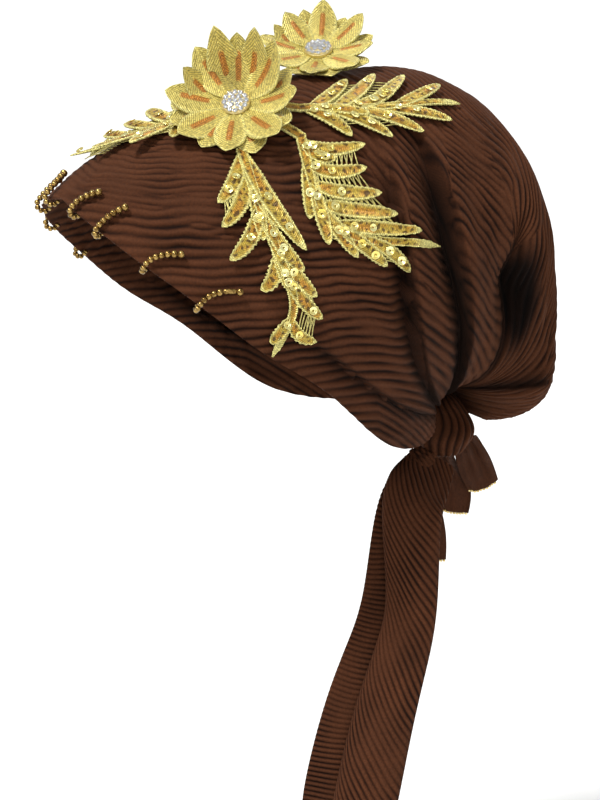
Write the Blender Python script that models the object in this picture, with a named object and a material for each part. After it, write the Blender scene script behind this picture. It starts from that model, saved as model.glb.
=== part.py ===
"""Pleated turban: a hollow cloth crown gathered to a knot at the nape, with hanging tails,
gold lace sprays, two layered flowers with stone buttons, and bead picots over the front edge.

The crown is a family of closed loops that all hinge on one line at the nape, like the pages
of a book. A loop is named by its angle (0 points forward, 90 up, 180 backward) and a place on
a loop by its turn (0 at the middle of the head, +0.5 at the wearer's left, 1 at the nape).
"""

import math

import bmesh
import bpy
import numpy as np
from mathutils import Vector
from mathutils.bvhtree import BVHTree
from mathutils.geometry import delaunay_2d_cdt

# Named sizes, in metres.
REACH = 0.240          # from the hinge at the nape to the front edge
HALF_WIDTH = 0.084     # half the widest loop
HINGE = (0.0, 0.096, -0.078)
NECK = 0.010           # radius of the gathered throat round the hinge
WALL = 0.0017          # cloth, doubled and pleated
CLEARANCE = 0.0004     # left between neighbouring pieces
PLEAT_RISE = 0.0011    # a pleat above or below the smooth cloth
LACE = 0.0016          # thickness of the lace
STEM_WIDTH = 0.0030
LACE_FOLLOW = 0.6      # share of a fold's depth that the lace dips into
BEAD_RADIUS = 0.0015
HOOK_SLACK = 0.0003    # extra room where a bead string turns round the rim
HEM_RADIUS = 0.0009
BUTTON_RADIUS = 0.0072
BUTTON_RISE = 0.0026
STONE_RADIUS = 0.0013
STONE_RISE = 0.0007
TAIL_WALL = 0.0018

# Counts.
PLEATS = 32
CROWN_COLUMNS = 18
TUBE_SIDES = 8

# Loops of the crown: angle in degrees, reach as a share of REACH, half width of HALF_WIDTH.
LOOPS = (
    (-20.0, 1.000, 0.920),
    (0.0, 1.005, 0.930),
    (32.1, 1.016, 0.973),
    (46.1, 0.908, 0.985),
    (57.8, 0.846, 0.998),
    (69.8, 0.781, 1.000),
    (84.6, 0.730, 0.999),
    (98.3, 0.628, 0.976),
    (112.1, 0.445, 0.880),
    (128.5, 0.275, 0.850),
    (152.5, 0.195, 0.742),
    (195.9, 0.100, 0.383),
    (206.0, 0.086, 0.267),
)
LAST_ANGLE = 204.0

# The open rim: turn, angle of the edge in degrees.
RIM = (
    (0.00, 31.0),
    (0.12, 29.6),
    (0.24, 27.8),
    (0.36, 25.2),
    (0.46, 21.8),
    (0.56, 17.0),
    (0.62, 9.5),
    (0.68, 0.0),
    (0.78, -9.0),
    (1.00, -14.0),
)

# Where a fold runs at these turns.
FOLD_TURNS = (0.0, 0.3, 0.5, 0.7, 0.9)
# Folds: angles at FOLD_TURNS, depth, width ahead, width behind (metres), first turn, full turn.
FOLDS = (
    ((30, 29, 27.5, 18, 8), 0.0035, 0.007, 0.006, 0.42, 0.56),
    ((66, 63.5, 53, 36, 18), 0.0050, 0.012, 0.006, 0.22, 0.55),
    ((70, 72, 67.5, 60, 44), 0.0070, 0.013, 0.006, 0.18, 0.45),
    ((98, 95, 88, 88, 84), 0.0100, 0.006, 0.014, 0.38, 0.52),
    ((150, 146, 136, 124, 112), 0.0040, 0.006, 0.008, 0.42, 0.55),
)

# Knot, from its top inside the throat to the bulb below: height, centre x and y, radii in x
# and y, in metres. The number and depth of the gathers round it.
KNOT_ROWS = (
    (-0.0720, 0.000, 0.0960, 0.0090, 0.0040),
    (-0.0755, 0.001, 0.0960, 0.0180, 0.0082),
    (-0.0800, 0.003, 0.0960, 0.0230, 0.0093),
    (-0.0850, 0.010, 0.0930, 0.0240, 0.0112),
    (-0.0900, 0.016, 0.0890, 0.0205, 0.0132),
    (-0.0955, 0.018, 0.0870, 0.0170, 0.0122),
    (-0.0995, 0.019, 0.0860, 0.0110, 0.0080),
)
KNOT_TOP = -0.0705
KNOT_BOTTOM = -0.1015
KNOT_SIDES = 18
KNOT_GATHERS = 6
KNOT_GATHER_DEPTH = 0.09

# Tails: each row is x, y, z of the middle line and the width there, in metres.
LONG_TAIL = (
    (0.0272, 0.0793, -0.0990, 0.018),
    (0.0385, 0.0640, -0.1080, 0.029),
    (0.0500, 0.0493, -0.1228, 0.035),
    (0.0590, 0.0404, -0.1612, 0.038),
    (0.0630, 0.0303, -0.1902, 0.042),
    (0.0650, 0.0190, -0.2197, 0.046),
    (0.0660, 0.0094, -0.2554, 0.048),
    (0.0660, 0.0055, -0.2760, 0.046),
)
UPPER_TAIL = (
    (0.0215, 0.1006, -0.0963, 0.011),
    (0.0170, 0.1065, -0.1035, 0.015),
    (0.0120, 0.1135, -0.1140, 0.018),
    (0.0080, 0.1212, -0.1270, 0.017),
)
MIDDLE_TAIL = (
    (0.0140, 0.0905, -0.1030, 0.010),
    (0.0030, 0.1000, -0.1155, 0.014),
    (-0.0015, 0.1090, -0.1290, 0.016),
    (-0.0030, 0.1100, -0.1420, 0.014),
)
LOWER_TAIL = (
    (0.0142, 0.0792, -0.1010, 0.010),
    (-0.0040, 0.0870, -0.1220, 0.014),
    (-0.0170, 0.1025, -0.1510, 0.016),
    (-0.0190, 0.1060, -0.1730, 0.015),
)
# How a tail folds across its width: share across (-1 toward the front of the head, 1 toward
# the back), depth in metres.
TAIL_FOLD = (
    (-1.00, -0.0065),
    (-0.62, -0.0080),
    (-0.34, -0.0070),
    (-0.20, 0.0015),
    (0.20, 0.0030),
    (0.60, 0.0022),
    (1.00, -0.0010),
)
SHORT_FOLD = (
    (-1.00, -0.0010),
    (-0.35, 0.0012),
    (0.30, 0.0002),
    (1.00, -0.0014),
)
TAIL_FACING = (0.84, -0.50, 0.20)
TAIL_RIB = 0.0007
LONG_TAIL_RIBS = 13
SHORT_TAIL_RIBS = 4

# Picots: turn at the rim, degrees the string climbs, turn it leans.
PICOTS = (
    (-0.330, 5.2, -0.036),
    (-0.225, 4.2, -0.034),
    (-0.125, 4.0, -0.018),
    (-0.045, 3.6, -0.024),
    (0.066, 3.4, 0.028),
    (0.138, 4.1, 0.016),
    (0.237, 4.0, 0.036),
    (0.330, 5.4, 0.038),
)

# Stems of the lace sprays: angle, turn. Leaves: share along the stem, angle and turn of the
# tip, full width in metres.
STEMS = {
    "spray_down_left": (
        (47.9, 0.167), (42.8, 0.274), (37.3, 0.374), (31.4, 0.437), (22.6, 0.446),
    ),
    "spray_down_right": (
        (55.0, 0.202), (50.4, 0.295), (48.3, 0.354), (51.7, 0.411), (64.3, 0.461),
    ),
    "spray_back": ((58.4, 0.143), (64.8, 0.171), (72.8, 0.180), (83.8, 0.182)),
    "spray_front": ((48.7, 0.053), (44.9, 0.008), (40.7, -0.032), (37.3, -0.090)),
}
LEAVES = {
    "spray_down_left": (
        (0.08, 39.4, 0.241, 0.0060),
        (0.17, 36.9, 0.278, 0.0058),
        (0.32, 33.5, 0.324, 0.0058),
        (0.52, 32.0, 0.383, 0.0056),
        (0.80, 25.0, 0.433, 0.0048),
        (0.08, 41.5, 0.376, 0.0060),
        (0.50, 36.0, 0.444, 0.0052),
        (0.62, 33.0, 0.474, 0.0050),
        (0.80, 28.4, 0.490, 0.0048),
    ),
    "spray_down_right": (
        (0.07, 62.2, 0.254, 0.0056),
        (0.17, 59.6, 0.297, 0.0056),
        (0.28, 58.9, 0.346, 0.0056),
        (0.41, 59.3, 0.388, 0.0054),
        (0.63, 61.0, 0.425, 0.0052),
        (0.32, 44.9, 0.385, 0.0054),
        (0.45, 47.0, 0.424, 0.0052),
        (0.60, 50.4, 0.459, 0.0050),
        (0.76, 54.0, 0.487, 0.0048),
    ),
    "spray_back": (
        (0.06, 61.0, 0.236, 0.0062),
        (0.22, 67.0, 0.252, 0.0062),
        (0.40, 73.0, 0.250, 0.0060),
        (0.60, 79.5, 0.232, 0.0056),
        (0.12, 68.5, 0.086, 0.0060),
        (0.30, 73.5, 0.080, 0.0060),
        (0.48, 78.0, 0.094, 0.0058),
        (0.68, 82.4, 0.132, 0.0054),
    ),
    "spray_front": (
        (0.10, 42.8, 0.094, 0.0066),
        (0.32, 39.4, 0.052, 0.0064),
        (0.56, 36.8, -0.006, 0.0060),
        (0.78, 35.2, -0.062, 0.0050),
        (0.08, 49.4, -0.070, 0.0064),
        (0.26, 46.0, -0.098, 0.0064),
        (0.44, 43.0, -0.118, 0.0060),
        (0.64, 40.4, -0.136, 0.0054),
    ),
}
STEM_STATIONS = 26
# A leaf from base to tip: share along it, share of its full width.
LEAF_SHAPE = ((0.3, 0.86), (0.65, 1.0), (1.0, 0.34))

# Flowers: angle and turn of the seat, axis, height of the hub over the cloth.
FLOWERS = (
    ("flower_front", 52.9, 0.062, (0.56, -0.42, 0.72), 0.0090),
    ("flower_top", 70.6, -0.050, (0.30, -0.20, 0.93), 0.0125),
)
PETALS = 8
PETAL_TIP = 0.0285
PETAL_NOTCH = 0.0165
LOWER_SHARE = 0.96     # lower layer's petals, share of the upper ones
PETAL_CUP = 0.0060     # rise of a petal's tip over the hub
PETAL_RINGS = (0.0, 0.5, 1.0)
LOWER_DROP = 0.0042    # lower layer below the upper one at the hub

CLOTH = (0.115, 0.052, 0.034, 1.0)
CLOTH_DARK = (0.085, 0.038, 0.026, 1.0)
GOLD_THREAD = (0.72, 0.58, 0.20, 1.0)
GOLD_PALE = (0.80, 0.70, 0.30, 1.0)
BRONZE = (0.36, 0.24, 0.09, 1.0)
STONE = (0.86, 0.88, 0.90, 1.0)


def clear_scene():
    for item in list(bpy.data.objects):
        bpy.data.objects.remove(item, do_unlink=True)


def spline(x, rows, column):
    """Natural cubic curve through one column of a table, read at x."""
    knots = np.array([row[0] for row in rows], float)
    values = np.array([row[column] for row in rows], float)
    step = np.diff(knots)
    count = len(knots)
    matrix = np.eye(count)
    target = np.zeros(count)
    for i in range(1, count - 1):
        matrix[i, i - 1:i + 2] = step[i - 1], 2 * (step[i - 1] + step[i]), step[i]
        rise = (values[i + 1] - values[i]) / step[i] - (values[i] - values[i - 1]) / step[i - 1]
        target[i] = 6 * rise
    bend = np.linalg.solve(matrix, target)
    x = np.asarray(x, float)
    i = np.clip(np.searchsorted(knots, x) - 1, 0, count - 2)
    ahead = knots[i + 1] - x
    back = x - knots[i]
    cubic = (bend[i] * ahead**3 + bend[i + 1] * back**3) / (6 * step[i])
    left = (values[i] / step[i] - bend[i] * step[i] / 6) * ahead
    right = (values[i + 1] / step[i] - bend[i + 1] * step[i] / 6) * back
    return cubic + left + right


def unit(vectors):
    vectors = np.asarray(vectors, float)
    return vectors / np.linalg.norm(vectors, axis=-1, keepdims=True)


def smooth_step(x):
    x = np.clip(x, 0.0, 1.0)
    return x * x * (3 - 2 * x)


def rim_angle(turn):
    return spline(np.abs(turn), RIM, 1)


def loop_radius(angle, turn):
    """Distance from the hinge line: the throat, plus a raised cosine that swells to the reach."""
    reach = REACH * spline(angle, LOOPS, 1)
    return NECK + (reach - NECK) * (1 + np.cos(math.pi * turn)) / 2


def smooth_crown(angle, turn):
    """The cloth without folds or pleats."""
    radius = loop_radius(angle, turn)
    side = HALF_WIDTH * spline(angle, LOOPS, 2) * np.sin(math.pi * turn)
    tilt = np.radians(angle)
    y = HINGE[1] - radius * np.cos(tilt)
    z = HINGE[2] + radius * np.sin(tilt)
    return np.stack([HINGE[0] + side, y, z], axis=-1)


def crown_normal(angle, turn):
    """Outward direction of the smooth cloth, from two short steps across it."""
    along = smooth_crown(angle + 0.5, turn) - smooth_crown(angle - 0.5, turn)
    across = smooth_crown(angle, turn + 0.004) - smooth_crown(angle, turn - 0.004)
    return unit(np.cross(across, along))


def fold_relief(angle, turn):
    """Depth of the main folds, each a groove along its own line, shallower toward the knot."""
    side = np.abs(turn)
    radius = loop_radius(angle, turn)
    shrink = np.clip(radius / 0.10, 0.15, 1.0)
    total = np.zeros(np.broadcast(angle, turn).shape)
    for angles, depth, ahead, behind, first, full in FOLDS:
        line = spline(side, list(zip(FOLD_TURNS, angles)), 1)
        line = line + 2.5 * np.sin(math.pi * turn) * (turn < 0)
        distance = np.radians(angle - line) * radius
        width = np.where(distance < 0, ahead, behind) * shrink
        taper = smooth_step((side - first) / (full - first))
        total -= depth * shrink * taper * np.exp(-(distance / width) ** 2)
    return total


def between_columns(turn, place):
    """A value on the flat facets of the crown, from the columns of points on either side."""
    turn = np.asarray(turn, float)
    cell = (turn + 1) * CROWN_COLUMNS / 2 - 0.5
    low = np.floor(cell)
    part = (cell - low)[..., None]
    first = -1 + (2 * low + 1) / CROWN_COLUMNS
    return place(first) * (1 - part) + place(first + 2 / CROWN_COLUMNS) * part


def raised(angle, turn, lift):
    """A point this far off the folded cloth, pleats left out."""
    height = fold_relief(angle, turn) + lift
    return smooth_crown(angle, turn) + crown_normal(angle, turn) * np.asarray(height)[..., None]


def on_cloth(angle, turn, lift):
    """A point off the cloth for lace, which bridges part of the depth of a fold."""
    angle = np.asarray(angle, float)
    turn = np.asarray(turn, float)
    height = LACE_FOLLOW * fold_relief(angle, turn) + lift
    return smooth_crown(angle, turn) + crown_normal(angle, turn) * height[..., None]


def at_rim(climb, turn, lift):
    """A point this many degrees up from the edge of the rim."""
    return between_columns(turn, lambda column: raised(rim_angle(column) + climb, column, lift))


def above_crown(points, seat, axis):
    """Heights of points over the folded cloth, measured along one axis from a seat on it."""
    points = np.asarray(points, float)
    guess = np.empty(points.shape)
    guess[..., 0] = seat[0]
    guess[..., 1] = seat[1]
    guess[..., 2] = 0.0

    def miss(value):
        foot = on_cloth(value[..., 0], value[..., 1], 0.0)
        return foot + axis * value[..., 2:3] - points

    steps = (0.2, 0.002, 0.001)
    for _ in range(12):
        error = miss(guess)
        columns = []
        for k, step in enumerate(steps):
            moved = guess.copy()
            moved[..., k] += step
            columns.append((miss(moved) - error) / step)
        slope = np.stack(columns, axis=-1)
        change = np.linalg.solve(slope, -error[..., None])[..., 0]
        change[..., 0] = np.clip(change[..., 0], -8, 8)
        change[..., 1] = np.clip(change[..., 1], -0.08, 0.08)
        guess = guess + change
    return guess[..., 2]


def material(name, colour, roughness, metallic):
    surface = bpy.data.materials.new(name)
    surface.use_nodes = True
    surface.diffuse_color = colour
    shader = surface.node_tree.nodes["Principled BSDF"]
    shader.inputs["Base Color"].default_value = colour
    shader.inputs["Roughness"].default_value = roughness
    shader.inputs["Metallic"].default_value = metallic
    return surface


def add_body(name, points, faces, surface, smooth=False):
    """One closed body, its faces turned outward."""
    mesh = bpy.data.meshes.new(name)
    mesh.from_pydata([tuple(p) for p in points], [], faces)
    work = bmesh.new()
    work.from_mesh(mesh)
    bmesh.ops.triangulate(work, faces=work.faces)
    bmesh.ops.recalc_face_normals(work, faces=work.faces)
    work.to_mesh(mesh)
    work.free()
    mesh.polygons.foreach_set("use_smooth", [smooth] * len(mesh.polygons))
    mesh.materials.append(surface)
    made = bpy.data.objects.new(name, mesh)
    bpy.context.scene.collection.objects.link(made)
    return made


def sheet_body(name, front, back, surface):
    """A closed sheet from two matching grids of points, joined round their four edges."""
    rows, columns = front.shape[:2]
    size = rows * columns
    points = np.concatenate([front.reshape(-1, 3), back.reshape(-1, 3)])
    faces = []
    for i in range(rows - 1):
        for j in range(columns - 1):
            a = i * columns + j
            quad = (a, a + 1, a + columns + 1, a + columns)
            faces.append(quad)
            faces.append(tuple(size + k for k in reversed(quad)))
    edge = [(0, j) for j in range(columns)] + [(i, columns - 1) for i in range(1, rows)]
    edge += [(rows - 1, j) for j in range(columns - 2, -1, -1)]
    edge += [(i, 0) for i in range(rows - 2, 0, -1)]
    ring = [i * columns + j for i, j in edge]
    for a, b in zip(ring, ring[1:] + ring[:1]):
        faces.append((b, a, size + a, size + b))
    return add_body(name, points, faces, surface)


def crown_rows():
    """Angles of the rows at the middle of the head, evenly spaced along the cloth."""
    fine = np.linspace(RIM[0][1], LAST_ANGLE, 400)
    line = smooth_crown(fine, np.zeros(400))
    length = np.concatenate([[0], np.cumsum(np.linalg.norm(np.diff(line, axis=0), axis=1))])
    rows = 2 * PLEATS
    return np.interp(np.linspace(0, length[-1], rows + 1), length, fine)


def build_crown():
    """Outer and inner walls of the crown, joined at the rim and closed at the last loop."""
    middle = crown_rows()
    rows = len(middle)
    turn = -1 + 2 * np.arange(CROWN_COLUMNS) / CROWN_COLUMNS + 1 / CROWN_COLUMNS
    share = ((middle - middle[0]) / (LAST_ANGLE - middle[0]))[:, None]
    follow = 1 - smooth_step(share / 0.45)
    angle = middle[:, None] - follow * (middle[0] - rim_angle(turn)[None, :])
    turn = turn[None, :] + 0 * angle
    fade = np.clip(loop_radius(angle, turn) / 0.08, 0, 1) * smooth_step(share / 0.03)
    pleat = PLEAT_RISE * np.where(np.arange(rows) % 2 == 0, -1.0, 1.0)[:, None] * fade
    height = fold_relief(angle, turn) + pleat
    base = smooth_crown(angle, turn)
    normal = crown_normal(angle, turn)
    outer = base + normal * height[..., None]
    inner = outer - normal * WALL

    columns = CROWN_COLUMNS
    size = rows * columns
    points = np.concatenate([outer.reshape(-1, 3), inner[:-1].reshape(-1, 3)])
    faces = []
    for j in range(columns):
        k = (j + 1) % columns
        for i in range(rows - 1):
            a, b = i * columns + j, i * columns + k
            faces.append((a, b, b + columns, a + columns))
            if i < rows - 2:
                faces.append((size + b, size + a, size + a + columns, size + b + columns))
        faces.append((k, j, size + j, size + k))
    last_outer = [(rows - 1) * columns + j for j in range(columns)]
    last_inner = [size + (rows - 2) * columns + j for j in range(columns)]
    outer_centre = outer[-1].mean(axis=0)
    inner_centre = inner[-2].mean(axis=0)
    points = np.concatenate([points, [outer_centre, inner_centre]])
    for j in range(columns):
        k = (j + 1) % columns
        faces.append((last_outer[j], last_outer[k], len(points) - 2))
        faces.append((last_inner[k], last_inner[j], len(points) - 1))
    cloth = material("crown_cloth", CLOTH, 0.9, 0.0)
    return add_body("crown", points, faces, cloth)


def build_knot():
    """A knot whose neck fills the throat, with gathers that wind round it."""
    rings = len(KNOT_ROWS)
    turn = 2 * math.pi * np.arange(KNOT_SIDES) / KNOT_SIDES
    points = []
    for i, (height, x, y, radius_x, radius_y) in enumerate(KNOT_ROWS):
        wave = np.cos(KNOT_GATHERS * turn + 0.8 * i)
        swell = 1 - KNOT_GATHER_DEPTH * (1 - wave) / 2
        ring = np.stack([x + radius_x * swell * np.cos(turn),
                         y + radius_y * swell * np.sin(turn),
                         np.full(KNOT_SIDES, height)], axis=-1)
        points.append(ring)
    points = np.concatenate([*points, [
        (KNOT_ROWS[0][1], KNOT_ROWS[0][2], KNOT_TOP),
        (KNOT_ROWS[-1][1], KNOT_ROWS[-1][2], KNOT_BOTTOM),
    ]])
    top, bottom = len(points) - 2, len(points) - 1
    faces = []
    for j in range(KNOT_SIDES):
        k = (j + 1) % KNOT_SIDES
        faces.append((top, j, k))
        faces.append((bottom, (rings - 1) * KNOT_SIDES + k, (rings - 1) * KNOT_SIDES + j))
        for i in range(rings - 1):
            a, b = i * KNOT_SIDES, (i + 1) * KNOT_SIDES
            faces.append((a + j, b + j, b + k, a + k))
    cloth = material("knot_cloth", CLOTH_DARK, 0.9, 0.0)
    return add_body("knot", points, faces, cloth, smooth=True)


def tail_grid(table, fold, ribs):
    """Rows across a hanging tail: the fold of the table, raised and lowered row by row."""
    stations = np.linspace(0, 1, len(table))
    rows = 2 * ribs + 1
    share = np.linspace(0, 1, rows)
    marked = [(s,) + tuple(row) for s, row in zip(stations, table)]
    middle = np.stack([spline(share, marked, k) for k in (1, 2, 3)], axis=-1)
    width = spline(share, marked, 4)
    along = unit(np.gradient(middle, axis=0))
    facing = unit(np.array(TAIL_FACING))
    across = unit(np.cross(facing, along))
    out = unit(np.cross(along, across))
    reach = np.array([row[0] for row in fold])
    depth = np.array([row[1] for row in fold])
    open_up = smooth_step(share / 0.25)[:, None]
    rib = TAIL_RIB * np.where(np.arange(rows) % 2 == 0, -1.0, 1.0)[:, None]
    height = depth[None, :] * open_up + rib * (share[:, None] > 0)
    grid = middle[:, None, :] + across[:, None, :] * (reach[None, :, None] * width[:, None, None] / 2)
    front = grid + out[:, None, :] * height[..., None]
    return front, front - out[:, None, :] * TAIL_WALL, along


def build_tail(name, table, fold, ribs):
    front, back, along = tail_grid(table, fold, ribs)
    sheet_body(name, front, back, material(name + "_cloth", CLOTH, 0.9, 0.0))
    return front, back, along


def build_tube(name, path, radius, surface):
    """A round cord along a path, closed at both ends."""
    curve = bpy.data.curves.new(name, "CURVE")
    curve.dimensions = "3D"
    curve.bevel_depth = radius
    curve.bevel_resolution = round(TUBE_SIDES / 2) - 2
    curve.use_fill_caps = True
    line = curve.splines.new("POLY")
    line.points.add(len(path) - 1)
    for point, place in zip(line.points, path):
        point.co = (*place, 1.0)
    line.use_smooth = True
    curve.materials.append(surface)
    made = bpy.data.objects.new(name, curve)
    bpy.context.scene.collection.objects.link(made)
    return made


def hem_path(rows, along, drop, count):
    """Points just past the last row of a tail, evenly spaced from edge to edge."""
    edge = (rows[0][-1] + rows[1][-1]) / 2
    share = np.linspace(0, 1, len(edge))
    line = np.stack([np.interp(np.linspace(0, 1, count), share, edge[:, k]) for k in range(3)], -1)
    return line + along[-1] * drop


def build_picots():
    """Bead strings that climb the cloth from the rim and hook under its edge."""
    lift = BEAD_RADIUS + PLEAT_RISE + CLEARANCE
    for number, (turn, climb, lean) in enumerate(PICOTS, 1):
        steps = np.array([1.0, 0.62, 0.28, 0.06])
        outside = at_rim(climb * steps, turn + lean * steps * steps, lift)
        rim = at_rim(0.0, turn, 0.0)
        up = unit(at_rim(0.5, turn, 0.0) - rim)
        out = unit(at_rim(0.0, turn, 0.001) - rim)
        hook = BEAD_RADIUS + CLEARANCE + HOOK_SLACK
        outer_corner = rim + (out - up) * hook * 0.71
        under = rim - up * hook - out * WALL / 2
        inner_corner = rim - out * WALL - (out + up) * hook * 0.71
        inside = rim + up * hook * 0.4 - out * (WALL + hook)
        path = np.concatenate([outside, [outer_corner, under, inner_corner, inside]])
        colour = material("picot_%d_bead" % number, BRONZE, 0.35, 0.9)
        build_tube("picot_%d" % number, path, BEAD_RADIUS, colour)


def stem_line(stem, share):
    rows = [(s,) + tuple(row) for s, row in zip(np.linspace(0, 1, len(stem)), stem)]
    return spline(share, rows, 1), spline(share, rows, 2)


def build_spray(name):
    """A flat leafy spray: a stem of short quads with a strip of quads for each leaf."""
    lift = PLEAT_RISE + 1.5 * CLEARANCE
    share = np.linspace(0, 1, STEM_STATIONS)
    angle, turn = stem_line(STEMS[name], share)
    line = on_cloth(angle, turn, lift)
    normal = crown_normal(angle, turn)
    along = unit(np.gradient(line, axis=0))
    across = unit(np.cross(along, normal))
    half = STEM_WIDTH / 2 * (1 - 0.45 * share)[:, None]
    points = [*(line + across * half), *(line - across * half)]
    normals = [*normal, *normal]
    faces = []
    for i in range(STEM_STATIONS - 1):
        faces.append((i, i + 1, STEM_STATIONS + i + 1, STEM_STATIONS + i))
    for place, tip_angle, tip_turn, width in LEAVES[name]:
        i = min(int(place * (STEM_STATIONS - 1)), STEM_STATIONS - 2)
        tip = on_cloth(tip_angle, tip_turn, lift)
        if np.dot(tip - line[i], across[i]) > 0:
            previous = (i + 1, i)
        else:
            previous = (STEM_STATIONS + i, STEM_STATIONS + i + 1)
        start_angle = (angle[i] + angle[i + 1]) / 2
        start_turn = (turn[i] + turn[i + 1]) / 2
        for reach, wide in LEAF_SHAPE:
            a = start_angle + (tip_angle - start_angle) * reach
            t = start_turn + (tip_turn - start_turn) * reach
            here = on_cloth(a, t, lift)
            further = on_cloth(a + (tip_angle - start_angle) * 0.02,
                               t + (tip_turn - start_turn) * 0.02, lift)
            out = crown_normal(a, t)
            spread = unit(np.cross(out, further - here)) * width * wide / 2
            points += [here + spread, here - spread]
            normals += [out, out]
            new = (len(points) - 2, len(points) - 1)
            faces.append((previous[1], new[1], new[0], previous[0]))
            previous = new
    points = np.array(points)
    normals = np.array(normals)
    count = len(points)
    solid = [tuple(reversed(face)) for face in faces]
    solid += [tuple(count + k for k in face) for face in faces]
    sides = {}
    for face in faces:
        for a, b in zip(face, face[1:] + face[:1]):
            sides[(a, b)] = sides.get((a, b), 0) + 1
    for a, b in sides:
        if (b, a) not in sides:
            solid.append((a, b, count + b, count + a))
    top = points + normals * LACE
    surface = material(name + "_thread", GOLD_THREAD, 0.5, 0.4)
    return add_body(name, np.concatenate([points, top]), solid, surface)


def cloth_foot(crown, seat):
    """The point just off the pleated cloth straight under a seat."""
    points = [vertex.co for vertex in crown.data.vertices]
    faces = [tuple(face.vertices) for face in crown.data.polygons]
    normal = Vector(crown_normal(*seat))
    start = Vector(smooth_crown(*seat)) + normal * 0.02
    hit = BVHTree.FromPolygons(points, faces).ray_cast(start, -normal)[0]
    return np.array(hit + normal * CLEARANCE)


def flower_layer(name, seat, axis, hub, share, twist, floor, foot):
    """A star of petals cupped round an axis, laid on the cloth wherever it would go under it."""
    samples = 4 * PETALS
    turn = 2 * math.pi * np.arange(samples) / samples + twist
    phase = (np.arange(samples) % 4) / 4
    pointed = np.abs(2 * phase - 1)
    edge = PETAL_NOTCH + (PETAL_TIP - PETAL_NOTCH) * share * pointed ** 0.7
    hub_edge = BUTTON_RADIUS * 1.06
    axis = unit(np.array(axis))
    side = unit(np.cross(axis, (0.0, 0.0, 1.0)))
    other = np.cross(axis, side)
    anchor = on_cloth(seat[0], seat[1], 0.0)
    normal = crown_normal(*seat)
    centre = anchor + axis * hub
    tops, bottoms = [], []
    for reach in PETAL_RINGS:
        radius = hub_edge + (edge - hub_edge) * reach
        rise = PETAL_CUP * ((radius - hub_edge) / (PETAL_TIP - hub_edge)) ** 2
        ring = centre + side * (np.cos(turn) * radius)[:, None]
        ring = ring + other * (np.sin(turn) * radius)[:, None] + axis * rise[:, None]
        height = above_crown(ring, seat, normal)
        rest = np.maximum(height, floor)
        low = ring + normal * (rest - height)[:, None]
        bottoms.append(low)
        tops.append(low + normal * LACE)
    middle = tops[0].mean(axis=0)
    points = np.concatenate([*tops, *bottoms, [middle, foot]])
    size = len(PETAL_RINGS) * samples
    faces = []
    for j in range(samples):
        k = (j + 1) % samples
        for i in range(len(PETAL_RINGS) - 1):
            a, b = i * samples + j, i * samples + k
            faces.append((a, a + samples, b + samples, b))
            faces.append((size + b, size + b + samples, size + a + samples, size + a))
        last = (len(PETAL_RINGS) - 1) * samples
        faces.append((last + j, size + last + j, size + last + k, last + k))
        faces.append((j, k, len(points) - 2))
        faces.append((size + k, size + j, len(points) - 1))
    add_body(name, points, faces, material(name + "_thread", GOLD_PALE, 0.5, 0.35))
    return middle, axis


def build_button(name, centre, axis):
    """A low dome set with nineteen cut stones, fused into one body."""
    places = [(0.0, 0.0)]
    for ring, count in ((1, 6), (2, 12)):
        for k in range(count):
            spin = 2 * math.pi * (k + 0.5 * (ring - 1)) / count
            radius = ring * 2.05 * STONE_RADIUS * (1.0 if ring == 1 else 0.97)
            places.append((radius * math.cos(spin), radius * math.sin(spin)))
    flat, heights = [], []

    def dome(x, y):
        return BUTTON_RISE * (1 - 0.55 * (math.hypot(x, y) / BUTTON_RADIUS) ** 2)

    for x, y in places:
        for share, rise in ((0.97, 0.0), (0.58, STONE_RISE)):
            for k in range(8):
                spin = math.pi * (k + 0.5) / 4
                px = x + share * STONE_RADIUS * math.cos(spin)
                py = y + share * STONE_RADIUS * math.sin(spin)
                flat.append((px, py))
                heights.append(dome(x, y) + rise)
    rim_first = len(flat)
    for k in range(24):
        spin = 2 * math.pi * k / 24
        flat.append((BUTTON_RADIUS * math.cos(spin), BUTTON_RADIUS * math.sin(spin)))
        heights.append(dome(*flat[-1]))
    result = delaunay_2d_cdt([Vector(p) * 1000 for p in flat], [], [], 0, 1e-5)
    faces = [tuple(face) for face in result[2]]
    count = len(flat)
    points = [(*p, h) for p, h in zip(flat, heights)]
    points += [(*flat[rim_first + k], 0.0) for k in range(24)]
    for k in range(24):
        m = (k + 1) % 24
        faces.append((rim_first + k, count + k, count + m, rim_first + m))
    faces.append(tuple(count + k for k in reversed(range(24))))
    axis = unit(np.array(axis))
    side = unit(np.cross(axis, (0.0, 0.0, 1.0)))
    other = np.cross(axis, side)
    points = np.array(points)
    world = centre + points[:, :1] * side + points[:, 1:2] * other + points[:, 2:] * axis
    return add_body(name, world, faces, material(name + "_stone", STONE, 0.08, 0.2))


def build_flowers(crown):
    rest = PLEAT_RISE + 2 * CLEARANCE + LACE
    for name, angle, turn, axis, hub in FLOWERS:
        step = LACE + CLEARANCE
        middle, out = flower_layer(name + "_lower", (angle, turn), axis, hub - LOWER_DROP,
                                   LOWER_SHARE, math.pi / PETALS, rest,
                                   cloth_foot(crown, (angle, turn)))
        foot = middle + out * CLEARANCE
        middle, out = flower_layer(name + "_upper", (angle, turn), axis, hub, 1.0, 0.0,
                                   rest + step, foot)
        build_button(name + "_button", middle + out * CLEARANCE, out)


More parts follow.
